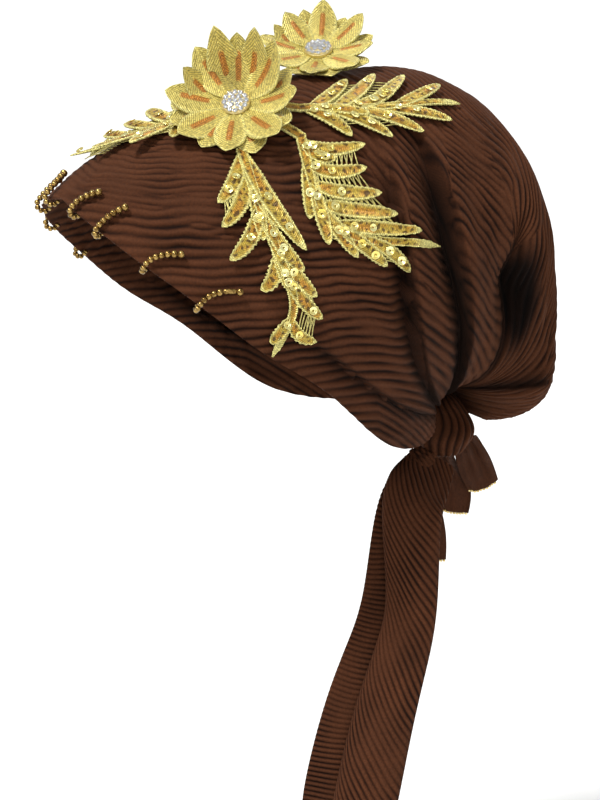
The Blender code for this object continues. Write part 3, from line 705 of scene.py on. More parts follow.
def pleats(field, octave):
    """Raised cosines of the field, doubled k times, each as strong as it is near octave."""
    total = 0.0
    for k in OCTAVES:
        near = np.maximum(1 - np.abs(octave - k), 0)
        total = total + near * (1 + np.cos(2 * math.pi * field * 2**k)) / 2
    return total


print("pleat spacing, mm:", FRONT_PITCH * 1e3, MIDDLE_PITCH * 1e3, REAR_PITCH * 1e3,
      BAG_PITCH * 1e3)

# %% [markdown]
# The crown is the smooth cloth, moved outward by the folds and then by the pleats. A little wander
# is added to the count before the pleats are made, because heat-set pleats never run quite true.

# %% Crown surface
CROWN_WALL = 0.0013
PLEAT_DEPTH = 0.00115


def crown_surface(angle, turn):
    """Points of the dressed crown, the numbers its material reads, and outward directions."""
    base = smooth_cloth(angle, turn)
    out = cloth_out(angle, turn)
    folded = base + out * fold_height(angle, turn)[..., None]
    wobble = 0.30 * wander(angle / 26, turn * 2.2, 11) + 0.17 * wander(angle / 7, turn * 9, 12)
    wobble = wobble + 0.06 * wander(angle / 3, turn * 24, 15)
    wobble = wobble * (1 - 0.8 * ease((np.abs(turn) - 0.45) / 0.2))
    field = pleat_field(angle, turn, base) + wobble
    behind = panel_after("bag", angle, turn)
    wanted = 1 / (FRONT_PITCH * (1 - behind) + BAG_PITCH * behind)
    octave = octave_for(crowding(field, base), wanted)
    strength = 0.80 + 0.34 * wander(angle / 11, turn * 6, 13)
    strength = np.clip(strength * (1 - 0.35 * np.exp(-(turn / 0.20) ** 2)), 0.2, 1.0)
    shrink = np.clip(page_radius(angle, turn) / 0.05, 0.15, 1.0)
    height = (pleats(field, octave) - 0.55) * PLEAT_DEPTH * strength * shrink
    bumps = 0.0005 * wander(angle / 9, turn * 6, 14)
    # The number crease carries the painted shade of the creases and the hollow to the cloth
    # material.
    carried = {"pleat": field, "octave": octave, "depth": strength * (0.4 + 0.6 * shrink),
               "crease": crease_shadow(angle, turn)}
    return folded + out * (height + bumps * shrink)[..., None], carried, out


print("crown wall, mm:", CROWN_WALL * 1e3, "pleat depth, mm:", PLEAT_DEPTH * 1e3)

# %% [markdown]
# The crown is sewn as three bands, one after another from the open edge to the throat. Each is a
# closed body with its own number of rows and columns, so that the finest cells lie where the eye
# looks closest.

# %% Crown bands
UPPER_BAG_END = 122.0


def closed_band(name, angle, turn, inner_step):
    """A band of the crown as one closed body: the dressed outside, every inner_step row of it
    again one wall further in, and a strip of faces where the two meet at either end."""
    outer, carried, out = crown_surface(angle, turn)
    rows, columns = angle.shape
    picks = np.unique(np.append(np.arange(0, rows, inner_step), rows - 1))
    inner = (outer - out * CROWN_WALL)[picks]
    points = np.concatenate([outer.reshape(-1, 3), inner.reshape(-1, 3)])
    outside = grid_faces(rows, columns, ring=True)
    inside = grid_faces(len(picks), columns, ring=True)[:, ::-1] + rows * columns
    j = np.arange(columns)
    k = (j + 1) % columns
    first = np.stack([k, j, j + rows * columns, k + rows * columns], axis=-1)
    last_out = (rows - 1) * columns
    last_in = rows * columns + (len(picks) - 1) * columns
    last = np.stack([j + last_out, k + last_out, k + last_in, j + last_in], axis=-1)
    faces = np.concatenate([outside, inside, first, last])
    values = {key: np.concatenate([numbers.ravel(), numbers[picks].ravel()])
              for key, numbers in carried.items()}
    flat = np.stack([0.27 * turn, arc_at(angle)], axis=-1)
    uv = np.concatenate([flat.reshape(-1, 2), flat[picks].reshape(-1, 2)])
    return add_piece(name, points, faces, CROWN_CLOTH, "cloth", ["crown"], values, uv)


def sew_band(name, first_line, last_line, columns, rows, inner_step):
    """A band between two lines of the crown, its rows in equal shares of the way."""
    turn = -1 + (2 * np.arange(columns) + 1) / columns
    share = np.linspace(0, 1, rows)[:, None]
    angle = first_line(turn)[None, :] * (1 - share) + last_line(turn)[None, :] * share
    closed_band(name, angle, turn[None, :] + 0 * angle, inner_step)


def rear_crease(turn):
    """Page angle of the crease where the wrap ends and the bag begins."""
    return crease_angle("side", turn)


def bag_end(turn):
    """The page where the bag turns under."""
    return np.full(turn.shape, UPPER_BAG_END)


def throat_end(turn):
    """The last page, at the throat."""
    return np.full(turn.shape, LAST_PAGE)


sew_band("crown_wrap", edge_angle, rear_crease, columns=480, rows=184, inner_step=9)
sew_band("crown_bag", rear_crease, bag_end, columns=264, rows=340, inner_step=10)
sew_band("crown_underside", bag_end, throat_end, columns=200, rows=130, inner_step=8)

# %% [markdown]
# ## The knot
# All the pleats meet in a bulb at the nape, wound round with the cloth of the tails. It is a stack
# of rings: a bell-like profile carried down a leaning line, with a wave round each ring for the
# gathers. The wave is turned a little from ring to ring, so the gathers twist as wound cloth does.

# %% Knot
# Height, centre x and y, radii in x and y of a ring, in metres.
KNOT_RINGS = np.array((
    (-0.0708, 0.000, 0.0960, 0.0040, 0.0020), (-0.0720, 0.000, 0.0960, 0.0100, 0.0045),
    (-0.0755, 0.001, 0.0960, 0.0180, 0.0082), (-0.0800, 0.003, 0.0960, 0.0232, 0.0095),
    (-0.0850, 0.010, 0.0930, 0.0246, 0.0116), (-0.0900, 0.016, 0.0889, 0.0212, 0.0137),
    (-0.0955, 0.018, 0.0870, 0.0172, 0.0126), (-0.0995, 0.019, 0.0860, 0.0112, 0.0082),
    (-0.1012, 0.019, 0.0860, 0.0040, 0.0030)))
KNOT_GATHERS = 17
KNOT_TWIST = 150.0      # turn of the gathers per metre down the knot, in radians
GATHER_DEPTH = 0.055    # share of the radius that a gather stands out


def tie_knot(rows=110, columns=200):
    """Rings (centre + radius (cos, sin)) with radii swelled by a rounded wave of the turn plus
    KNOT_TWIST times the height, closed by a point at either end."""
    height = np.linspace(KNOT_RINGS[0, 0], KNOT_RINGS[-1, 0], rows)
    order = KNOT_RINGS[::-1]
    x, y, wide, deep = (curve_through(height, order[:, 0], order[:, k])[:, None]
                        for k in (1, 2, 3, 4))
    spin = 2 * math.pi * np.arange(columns)[None, :] / columns
    count = KNOT_GATHERS * spin / (2 * math.pi) + KNOT_TWIST * height[:, None] / 6.28
    count = count + 0.35 * np.sin(2 * spin + 60 * height[:, None])
    swell = 1 + GATHER_DEPTH * (pleats(count, 0 * count) - 0.8)
    swell = swell + 0.04 * np.sin(3 * spin - 210 * height[:, None])
    grid = np.stack([x + wide * swell * np.cos(spin), y + deep * swell * np.sin(spin),
                     height[:, None] + 0 * spin], axis=-1)
    ends = [grid[0].mean(axis=0), grid[-1].mean(axis=0)]
    points = np.concatenate([grid.reshape(-1, 3), ends])
    faces = grid_faces(rows, columns, ring=True).tolist()
    last = (rows - 1) * columns
    faces += [((j + 1) % columns, j, len(points) - 2) for j in range(columns)]
    faces += [(last + j, last + (j + 1) % columns, len(points) - 1) for j in range(columns)]
    count = np.append(count.ravel(), [0, 0])
    values = {"pleat": count, "octave": 0 * count, "depth": 0 * count + 0.85}
    uv = np.stack([0.02 * spin + 0 * grid[..., 0], grid[..., 2]], axis=-1).reshape(-1, 2)
    uv = np.concatenate([uv, [[0, 0], [0, 0]]])
    return add_piece("knot_gathers", points, faces, TAIL_CLOTH, "cloth_dark", ["knot"], values,
                     uv)


knot = tie_knot()

# %% [markdown]
# ## The long tail
# The long tail is one pleated strip folded in a flat Z. Its front panel hangs down from the knot
# with pleats that start along its left edge and curve out to the right, and the fold behind shows
# at the left with level pleats. The strip is a section, drawn as a line through named points, that
# is carried down a path. The pleats are a field again, and it depends on the place in the section.

# %% Long tail
# x, y, z of the middle line and the width, in metres, from the knot down.
LONG_TAIL = np.array((
    (0.0272, 0.0793, -0.0990, 0.022), (0.0385, 0.0640, -0.1080, 0.032),
    (0.0500, 0.0493, -0.1228, 0.035), (0.0590, 0.0404, -0.1612, 0.038),
    (0.0630, 0.0303, -0.1902, 0.042), (0.0650, 0.0190, -0.2197, 0.046),
    (0.0660, 0.0094, -0.2554, 0.048), (0.0660, 0.0055, -0.2760, 0.046)))
TAIL_FACING = np.array((0.84, -0.50, 0.20))
TAIL_WALL = 0.0010
FRONT_PLEAT, BEHIND_PLEAT = 0.0050, 0.0027      # pleat spacing on the two panels, in metres
TAIL_PLEAT_DEPTH = 0.00085
# Share across (-1 left edge, 1 right edge) and depth in metres of the section's points. The
# front panel starts at point FRONT_START, whose share across is FRONT_EDGE.
FRONT_START, FRONT_EDGE = 7, -0.335
Z_FOLD = np.array((
    (-1.00, -0.0066), (-0.70, -0.0078), (-0.34, -0.0082), (-0.06, -0.0084), (0.04, -0.0070),
    (-0.02, -0.0056), (-0.20, -0.0050), (-0.335, -0.0034), (-0.350, -0.0010), (-0.29, 0.0012),
    (-0.10, 0.0028), (0.20, 0.0033), (0.60, 0.0024), (0.92, 0.0004), (1.00, -0.0014)))
print("long tail: a path of", len(LONG_TAIL), "points and a section of", len(Z_FOLD))

# %% [markdown]
# One strip maker serves all four tails. It reads path and section as smooth curves and lets the
# section open out slowly below the knot. Where a front panel is named, the strip maker also draws
# it over the fold behind at the top.

# %% Strip maker
def cover_top(reach, front, share):
    """Shares across, row by row: near the knot the front panel is stretched to the left until
    it hides the fold behind it, and lower down it draws back to its own edge."""
    drawn_back = ease((share - 0.14) / 0.34)
    left = FRONT_EDGE - 0.62 * (1 - drawn_back)
    stretched = 1 - (1 - reach[None, :]) * ((1 - left) / (1 - FRONT_EDGE))[:, None]
    tucked = reach[None, :] * (0.88 + 0.12 * drawn_back)[:, None]
    return np.where(front[None, :], stretched, tucked)


def section_run(path, section):
    """Distance along a section to each of its points, at a full width near the path's end."""
    return run_along(section * (path[-3, 3] / 2, 1))


def strip_down(path, section, rows, columns, front_start=None):
    """A section carried down a path. A point is the path's own place, plus its share across
    times half the width, plus its depth along the way the strip faces. Gives the grid, its
    outward directions, the distance down the path, and along the section the distance and the
    share across. A front panel that starts at point front_start covers the top."""
    share = np.linspace(0, 1, rows)
    marks = np.linspace(0, 1, len(path))
    x, y, z, width = (curve_through(share, marks, path[:, k]) for k in range(4))
    middle = np.stack([x, y, z], axis=-1)
    down = unit(np.gradient(middle, axis=0))
    across = unit(np.cross(unit(TAIL_FACING), down))
    out = unit(np.cross(down, across))
    length = section_run(path, section)
    place = np.linspace(0, length[-1], columns)
    reach = np.interp(place, length, section[:, 0])
    depth = np.interp(place, length, section[:, 1])
    open_up = ease(share / 0.25)[:, None]
    spread = reach[None, :]
    if front_start is not None:
        spread = cover_top(reach, place > length[front_start], share)
    grid = middle[:, None] + across[:, None] * (spread[..., None] * width[:, None, None] / 2)
    grid = grid + out[:, None] * (depth[None, :] * open_up)[..., None]
    return grid, out, run_along(middle), place, reach


def cut_size(grid):
    """A gathered strip laid flat: the width that four rows in five stay within, because the
    knot draws in the others, and the mean length of its columns."""
    across = np.linalg.norm(np.diff(grid, axis=1), axis=-1).sum(axis=1)
    down = np.linalg.norm(np.diff(grid, axis=0), axis=-1).sum(axis=0)
    return float(np.percentile(across, 80)), float(down.mean())


print("strip maker ready")

# %% [markdown]
# The tail's two panels are pleated in different ways, so the field has two formulas and the place
# in the section chooses between them. The tail hangs from the knot.

# %% Hang the long tail
def hang_long_tail(rows=350, columns=84):
    """The Z fold down its path. Pleats: on the front panel a line down the strip plus a rise that
    is steep at the left edge and even further right; on the fold behind, lines straight across."""
    grid, out, travelled, place, _ = strip_down(LONG_TAIL, Z_FOLD, rows, columns, FRONT_START)
    s, place = travelled[:, None], place[None, :]
    inward = place - section_run(LONG_TAIL, Z_FOLD)[FRONT_START]
    rise = 1.05 * np.maximum(inward, 0) + 0.020 * (1 - np.exp(-np.maximum(inward, 0) / 0.0065))
    front = (s - rise + 0.02) / FRONT_PLEAT
    behind = (s + 5 * (place - 0.008) ** 2) / BEHIND_PLEAT
    count = np.where(inward > 0, front, behind)
    count = count + 0.24 * wander(s * 14, place * 30, 21)
    strength = 0.78 + 0.3 * wander(s * 22, place * 40, 22)
    ridge = pleats(count, 0 * count)
    wave = 0.0012 * wander(s * 9, place * 20, 23) * ease(s / 0.05)
    lean = out[:, None] * ((ridge - 0.5) * TAIL_PLEAT_DEPTH * strength + wave)[..., None]
    uv = np.stack([place + 0 * count, s + 0 * count], axis=-1)
    values = {"pleat": count, "octave": 0 * count, "depth": np.clip(strength, 0.2, 1.0)}
    piece = add_sheet("long_tail_cloth", grid + lean, TAIL_WALL, TAIL_CLOTH, "cloth",
                      ["long_tail"], values, uv)
    flat = cut_size(grid)
    return flat


print("long tail cut, m:", [round(x, 3) for x in hang_long_tail()])

# %% [markdown]
# ## The short tails
# Three short ends hang behind the knot. Their cloth is the same crepe, ironed flat, so it has
# soft creases and no pleats. The same strip maker makes them, with a gentler section and creases
# that run down from the knot. Their hems of beads come at the end.

# %% Short tails
SHORT_TAILS = {
    "upper": np.array(((0.0215, 0.1006, -0.0963, 0.011), (0.0170, 0.1065, -0.1035, 0.015),
                       (0.0120, 0.1135, -0.1140, 0.018), (0.0080, 0.1212, -0.1270, 0.017))),
    "middle": np.array(((0.0140, 0.0905, -0.1030, 0.010), (0.0030, 0.1000, -0.1155, 0.014),
                        (-0.0015, 0.1090, -0.1290, 0.016), (-0.0030, 0.1100, -0.1420, 0.014))),
    "lower": np.array(((0.0142, 0.0792, -0.1010, 0.010), (-0.0040, 0.0870, -0.1220, 0.014),
                       (-0.0170, 0.1025, -0.1510, 0.016), (-0.0190, 0.1060, -0.1730, 0.015))),
}
SOFT_FOLD = np.array(((-1.00, -0.0010), (-0.35, 0.0012), (0.30, 0.0002), (1.00, -0.0014)))
HEM_LINES, TAIL_CUTS = {}, {}      # the lower edge of each tail; its piece and its cut size


def hang_short_tail(name, seed, rows=90, columns=60):
    """The soft section down its path, with creases that start at the knot and fade: a wave
    across the strip that dies away with the distance down it."""
    aside = np.linspace(-1, 1, 25)
    section = np.stack([aside, curve_through(aside, *SOFT_FOLD.T)], axis=-1)
    grid, out, travelled, place, reach = strip_down(SHORT_TAILS[name], section, rows, columns)
    s = (travelled / travelled[-1])[:, None]
    crease = 0.0013 * np.cos(3.2 * math.pi * reach[None, :] + seed) * (1.1 - s) * ease(s / 0.1)
    soft = 0.0012 * wander(s * 1.2 + 0 * crease, reach[None, :] * 0.9, seed)
    grid = grid + out[:, None] * (crease + soft)[..., None]
    # The pleat count and depth paint soft bands of shade across the tail near the knot, which fade
    # down it.
    count = reach[None, :] * 2.2 + 0.3 * s
    values = {"pleat": count, "octave": 0 * count, "depth": 0.35 * (1.2 - s) + 0 * count}
    uv = np.stack([place[None, :] + 0 * count, travelled[:, None] + 0 * count], axis=-1)
    piece = add_sheet(name + "_tail_cloth", grid, TAIL_WALL, PLAIN_CLOTH, "cloth_dark",
                      [name + "_tail"], values, uv)
    HEM_LINES[name] = grid[-1] - out[-1] * TAIL_WALL / 2
    TAIL_CUTS[name] = (piece, cut_size(grid))


for number, name in enumerate(SHORT_TAILS):
    hang_short_tail(name, 31 + number)

# %% [markdown]
# ## Gold lace: the thread
# The lace and the flowers are embroidered in one metallic thread. It is pale yellow where the cord
# runs round an edge, deeper gold inside, and orange down a vein, and every stitch catches the light
# on its own. The stitches are stripes on the UV map, slanted away from the vein, each with a
# painted highlight along it and painted glints from fine noise, and two numbers on the mesh, `cord`
# and `vein`, say where the edge and the vein are.

# %% Gold thread
def stitch_group():
    """Colour = gold, mixed to orange on the vein and to pale on the cord, with a painted highlight
    on each stitch that leaves it brighter than between two, painted glints from fine noise, and
    dark in the small holes away from the cord; height = a rounded stripe for every stitch plus
    loose ends, sunk in a hole."""
    group, start, end = new_group(
        "stitches",
        [("Gold", "NodeSocketColor", (0.5, 0.38, 0.08, 1)),
         ("Pale", "NodeSocketColor", (0.8, 0.72, 0.3, 1)),
         ("Orange", "NodeSocketColor", (0.6, 0.24, 0.05, 1)),
         ("Stitches per metre", "NodeSocketFloat", 1500.0),
         ("Slant", "NodeSocketFloat", 0.6),
         ("Patches", "NodeSocketFloat", 0.5),
         ("Holes", "NodeSocketFloat", 0.0)],
        [("Colour", "NodeSocketColor"), ("Roughness", "NodeSocketFloat"),
         ("Height", "NodeSocketFloat")])
    where = add_node(group, "TexCoord")
    cord, vein = mesh_number(group, "cord"), mesh_number(group, "vein")
    flat = add_node(group, "SeparateXYZ", Vector=where.outputs["UV"])
    aside = calc(group, "ABSOLUTE", flat.outputs[0])
    along = calc(group, "MULTIPLY_ADD", aside, start.outputs["Slant"], flat.outputs[1])
    bent = calc(group, "MULTIPLY_ADD", noise(group, where, 700.0, 3.0), 0.0007, along)
    turns = calc(group, "MULTIPLY", bent, start.outputs["Stitches per metre"])
    wave = calc(group, "COSINE", calc(group, "MULTIPLY", turns, 2 * math.pi))
    stitch = calc(group, "MULTIPLY_ADD", wave, 0.5, 0.5)
    # Fine noise: grain of the thread in roughness and height, and painted glints where it lightens
    # the colour.
    grain_and_glint = noise(group, where, 900.0, 3.0, 0.7)
    patch = calc(group, "MULTIPLY_ADD", noise(group, where, 230.0), 6.0, -3.1)
    patch = calc(group, "MULTIPLY", between_0_and_1(group, patch), start.outputs["Patches"])
    inside = blend(group, calc(group, "MAXIMUM", patch, vein), start.outputs["Gold"],
                   start.outputs["Orange"])
    edged = blend(group, cord, inside, start.outputs["Pale"])
    # Painted highlight along each stitch, times the painted glints of the fine noise.
    value = calc(group, "MULTIPLY", calc(group, "MULTIPLY_ADD", stitch, 0.50, 0.55),
                 calc(group, "MULTIPLY_ADD", grain_and_glint, 2.6, -0.28))
    cells = add_node(group, "TexVoronoi", {"feature": "DISTANCE_TO_EDGE"},
                     Vector=where.outputs["Object"], Scale=330.0)
    open_cell = calc(group, "MULTIPLY_ADD", cells.outputs["Distance"], 9.0, -1.5)
    inner = calc(group, "MULTIPLY_ADD", cord, -1.0, 1.0)
    hole = calc(group, "MULTIPLY", between_0_and_1(group, open_cell), inner)
    hole = calc(group, "MULTIPLY", hole, start.outputs["Holes"])
    tone = add_node(group, "HueSaturation", Value=value, Color=edged).outputs["Color"]
    height = calc(group, "MULTIPLY_ADD", grain_and_glint, 0.5, stitch)
    feed(group, end, Colour=blend(group, hole, tone, (0.060, 0.028, 0.009, 1)),
         Roughness=calc(group, "MULTIPLY_ADD", grain_and_glint, 0.5, 0.12),
         Height=calc(group, "MULTIPLY_ADD", hole, -1.5, height))
    return group


def thread_material(name, gold, pale, orange, stitches, slant, patches, holes, metallic):
    """Metallic thread on a Principled shader."""
    settings = {"Gold": (*gold, 1), "Pale": (*pale, 1), "Orange": (*orange, 1),
                "Stitches per metre": stitches, "Slant": slant, "Patches": patches,
                "Holes": holes}
    return group_material(name, STITCHES, settings, 0.8, 0.00035, Metallic=metallic)


STITCHES = stitch_group()
LACE_THREAD = thread_material("lace_thread", (0.58, 0.41, 0.060), (0.86, 0.78, 0.28),
                              (0.55, 0.24, 0.022), stitches=1000.0, slant=0.55, patches=0.70,
                              holes=0.85, metallic=0.35)
PETAL_THREAD = thread_material("petal_thread", (0.72, 0.60, 0.165), (0.82, 0.74, 0.26),
                               (0.56, 0.23, 0.040), stitches=860.0, slant=0.75, patches=0.0,
                               holes=0.0, metallic=0.30)
print("thread materials:", LACE_THREAD.name, PETAL_THREAD.name)

# %% [markdown]
# ## The lace sprays
# Four leafy sprays lie over the crown, each a stem with narrow leaves of lace that end bluntly.
# A leaf is a flattened tube: an oval section with a raised cord along both its edges, carried from
# the stem to the tip over the cloth. Fine threads tie each leaf to the next as net does, and round
# sequins are sewn along them. Placing everything by angle and turn keeps it on the crown.

# %% Where the lace lies
LACE_LIFT = 0.0017      # underside of the lace over the smooth cloth
LACE_THICK = 0.0013
LACE_FOLLOW = 0.6       # share of a fold's depth that lace sinks into
CLEAR_SHARE = 0.7       # share of its lift that it keeps over the lips of the folds
# Creases as the lace feels them: depth, reach ahead and behind, first and full turn.
LACE_CREASES = {
    "ear": (0.0035, 0.007, 0.006, 0.42, 0.56), "drape": (0.0050, 0.012, 0.006, 0.22, 0.55),
    "side": (0.0070, 0.013, 0.006, 0.18, 0.45), "bag": (0.0100, 0.006, 0.014, 0.38, 0.52),
}


def over_cloth(angle, turn, lift):
    """A point over the smooth cloth, sunk by LACE_FOLLOW of bell-shaped creases, and always
    clear of the lips that stand behind them."""
    angle, turn = np.asarray(angle, float), np.asarray(turn, float)
    radius = page_radius(angle, turn)
    shrink = np.clip(radius / 0.10, 0.15, 1.0)
    sink = 0.0
    for name, (depth, ahead, behind, first, full) in LACE_CREASES.items():
        far = np.radians(angle - crease_angle(name, turn)) * radius
        width = np.where(far < 0, ahead, behind) * shrink
        taper = ease((np.abs(turn) - first) / (full - first))
        sink = sink + depth * shrink * taper * np.exp(-(far / width) ** 2)
    height = np.maximum(lift - LACE_FOLLOW * sink, fold_height(angle, turn) + CLEAR_SHARE * lift)
    return smooth_cloth(angle, turn) + cloth_out(angle, turn) * np.asarray(height)[..., None]


print("lace over the cloth, mm:", LACE_LIFT * 1e3, "to", (LACE_LIFT + LACE_THICK) * 1e3)

# %% [markdown]
# Every leaf is one row of a table: where it leaves its stem, where its tip lies on the crown, and
# how wide it is. A second table gives the outline that all leaves share, and a third the section,
# which is thick along both edges like a cord and thin between.

# %% Stems and leaves
# Stems: angle and turn of their points. Leaves: share along the stem, angle and turn of the
# tip, width in metres.
STEMS = {
    "spray_down_left": ((47.9, 0.167), (42.8, 0.274), (37.3, 0.374), (31.4, 0.437),
                        (22.6, 0.446)),
    "spray_down_right": ((55.0, 0.202), (50.4, 0.295), (48.3, 0.354), (51.7, 0.411),
                         (64.3, 0.461)),
    "spray_back": ((58.4, 0.143), (64.8, 0.171), (72.8, 0.180), (83.8, 0.182)),
    "spray_front": ((48.7, 0.053), (44.9, 0.008), (40.7, -0.032), (37.3, -0.090)),
}
LEAVES = {
    "spray_down_left": (
        (0.02, 39.4, 0.241, 0.0070), (0.12, 36.9, 0.278, 0.0070), (0.26, 33.5, 0.324, 0.0070),
        (0.45, 32.0, 0.383, 0.0068), (0.78, 25.0, 0.433, 0.0056), (0.02, 41.5, 0.376, 0.0074),
        (0.40, 36.0, 0.444, 0.0066), (0.55, 33.0, 0.474, 0.0060), (0.78, 28.4, 0.490, 0.0054),
        (0.10, 42.0, 0.330, 0.0066), (0.16, 38.6, 0.330, 0.0062), (0.30, 38.4, 0.402, 0.0064),
        (0.42, 34.4, 0.412, 0.0060)),
    "spray_down_right": (
        (0.02, 62.2, 0.254, 0.0066), (0.12, 59.6, 0.297, 0.0066), (0.22, 58.9, 0.346, 0.0066),
        (0.34, 59.3, 0.388, 0.0066), (0.52, 61.0, 0.425, 0.0062), (0.22, 44.9, 0.385, 0.0064),
        (0.36, 47.0, 0.424, 0.0062), (0.52, 50.4, 0.459, 0.0062), (0.70, 54.0, 0.487, 0.0056),
        (0.10, 46.0, 0.335, 0.0064), (0.02, 56.8, 0.262, 0.0060)),
    "spray_back": (
        (0.02, 61.0, 0.236, 0.0070), (0.14, 67.0, 0.252, 0.0070), (0.32, 73.0, 0.250, 0.0068),
        (0.52, 79.5, 0.232, 0.0064), (0.06, 68.5, 0.086, 0.0066), (0.22, 73.5, 0.080, 0.0066),
        (0.40, 78.0, 0.094, 0.0064), (0.62, 82.4, 0.132, 0.0060), (0.08, 66.4, 0.196, 0.0060),
        (0.30, 74.0, 0.140, 0.0060)),
    "spray_front": (
        (0.04, 42.8, 0.094, 0.0074), (0.24, 39.4, 0.052, 0.0074), (0.46, 36.8, -0.006, 0.0070),
        (0.72, 35.2, -0.062, 0.0060), (0.04, 49.4, -0.070, 0.0074), (0.20, 46.0, -0.098, 0.0074),
        (0.36, 43.0, -0.118, 0.0068), (0.56, 40.4, -0.136, 0.0062), (0.02, 44.0, 0.064, 0.0064)),
}
# A leaf from the stem to its tip: share along, share of its full width.
LEAF_OUTLINE = np.array(((0.0, 0.36), (0.12, 0.70), (0.3, 0.98), (0.55, 1.0), (0.75, 0.88),
                         (0.9, 0.60), (0.97, 0.32), (1.0, 0.06)))
LEAF_SPREAD = 1.16      # the lace is sewn closer than the bare leaf widths say
SCALLOP = 0.0023        # length of a scallop of the leaf's edge, in metres
# Section of a leaf round from the left edge over the top: share across, share of thickness.
LEAF_SECTION = np.array(((-1.0, 0.45), (-0.95, 0.80), (-0.84, 1.0), (-0.70, 0.86), (-0.52, 0.62),
                         (-0.26, 0.72), (0.0, 0.80), (0.26, 0.72), (0.52, 0.62), (0.70, 0.86),
                         (0.84, 1.0), (0.95, 0.80), (1.0, 0.45), (0.9, 0.0), (0.3, 0.0),
                         (-0.3, 0.0), (-0.9, 0.0)))
print("leaves:", {name: len(leaves) for name, leaves in LEAVES.items()})

# %% [markdown]
# A leaf of real lace is a flat net with a cord sewn round its edge. A tube of one section, swept
# from stem to tip, gives both at once, and it is a closed body, which a flat card would not be.

# %% Leaf maker
def stem_place(name, share):
    """Angle and turn at a share of the way along a stem."""
    points = np.array(STEMS[name])
    marks = np.linspace(0, 1, len(points))
    return tuple(curve_through(share, marks, points[:, k]) for k in (0, 1))


def leaf_tube(angle, turn, width, outline, thick=LACE_THICK, lift=LACE_LIFT, seed=0):
    """The leaf section swept along a line on the crown. A point is the line's own place plus
    share across times half the width, raised by share of the thickness."""
    line = over_cloth(angle, turn, lift)
    out = cloth_out(angle, turn)
    down = unit(np.gradient(line, axis=0))
    across = unit(np.cross(out, down))
    share = np.linspace(0, 1, len(line))
    half = width / 2 * np.interp(share, *outline.T)
    scallops = max(4, round(float(np.linalg.norm(line[-1] - line[0])) / SCALLOP))
    zigzag = 1 + 0.10 * np.sin(2 * math.pi * scallops * share)[:, None] * (
        np.abs(LEAF_SECTION[:, 0]) > 0.8)
    aside = LEAF_SECTION[None, :, 0] * half[:, None] * zigzag
    up = LEAF_SECTION[None, :, 1] * thick * np.sqrt(np.clip(half / half.max(), 0.2, 1))[:, None]
    grid = line[:, None] + across[:, None] * aside[..., None] + out[:, None] * up[..., None]
    cord = ease((np.abs(LEAF_SECTION[:, 0]) - 0.62) / 0.16)[None, :] + 0 * aside
    cord = np.maximum(cord, ease((share[:, None] - 0.90) / 0.05))
    vein = 0.8 * ease((0.40 - np.abs(LEAF_SECTION[:, 0])) / 0.15)[None, :]
    patch = ease((np.sin(share * 9 + seed * 1.7) - 0.10) / 0.5)[:, None]
    ends = ease((share - 0.08) / 0.1) * ease((0.88 - share) / 0.1)
    uv = np.stack([aside, run_along(line)[:, None] + 0 * aside], axis=-1)
    return grid, cord, vein * patch * ends[:, None], uv


def closed_tube(grid):
    """Faces of a tube, with one flat face across either end."""
    rows, columns = grid.shape[:2]
    faces = grid_faces(rows, columns, ring=True).tolist()
    faces.append(tuple(range(columns - 1, -1, -1)))
    faces.append(tuple((rows - 1) * columns + j for j in range(columns)))
    return faces


print("leaf maker ready")

# %% [markdown]
# A spray has hundreds of small surfaces but is one piece. The collector below gathers points,
# faces and numbers, and hands them all to the mesh maker at once.

# %% Collector and thread
class Parts:
    """Collects the points, faces and numbers of many small surfaces for one mesh."""

    def __init__(self):
        self.points, self.faces, self.uv, self.picks = [], [], [], []
        self.values = {}
        self.count = 0

    def add(self, grid, faces, uv=None, pick=0, **values):
        """A surface with its UV map, the number of its material, and numbers for the mesh."""
        points = np.asarray(grid).reshape(-1, 3)
        self.points.append(points)
        self.faces += [tuple(int(k) + self.count for k in face) for face in faces]
        self.picks += [pick] * len(faces)
        flat = np.zeros((len(points), 2)) if uv is None else np.asarray(uv).reshape(-1, 2)
        self.uv.append(flat)
        for key, numbers in values.items():
            numbers = np.broadcast_to(np.asarray(numbers, float), np.asarray(grid).shape[:-1])
            self.values.setdefault(key, []).append(numbers.ravel())
        self.count += len(points)

    def tube(self, grid, uv=None, pick=0, **values):
        """A tube with closed ends."""
        self.add(grid, closed_tube(grid), uv, pick, **values)

    def make(self, name, surfaces, slot, nodes=(), **more):
        """One piece from all that was gathered."""
        values = {key: np.concatenate(rows) for key, rows in self.values.items()}
        return add_piece(name, np.concatenate(self.points), self.faces, surfaces, slot, nodes,
                         values, np.concatenate(self.uv), self.picks, **more)


def thread_tube(line, radius, sides=5):
    """A circle of radius round every point of a line, turned to face along it."""
    down = unit(np.gradient(line, axis=0))
    aside = unit(np.cross(down, np.array([0.3, 0.5, 0.8])))
    over = np.cross(down, aside)
    return line[:, None] + circle(aside[:, None], over[:, None], sides) * np.reshape(
        radius, (-1, 1, 1))


print("collector ready")

# %% [markdown]
# Each spray is sewn in the order of its table: the stem, the leaves, and the net between them. A
# leaf leaves the stem along the stem's own way and bends out to its tip, as cut lace is laid.

# %% Sprays
STEM_PULL, TIP_PULL = 0.9, 0.30     # how far a leaf's line is drawn along the stem and to the tip


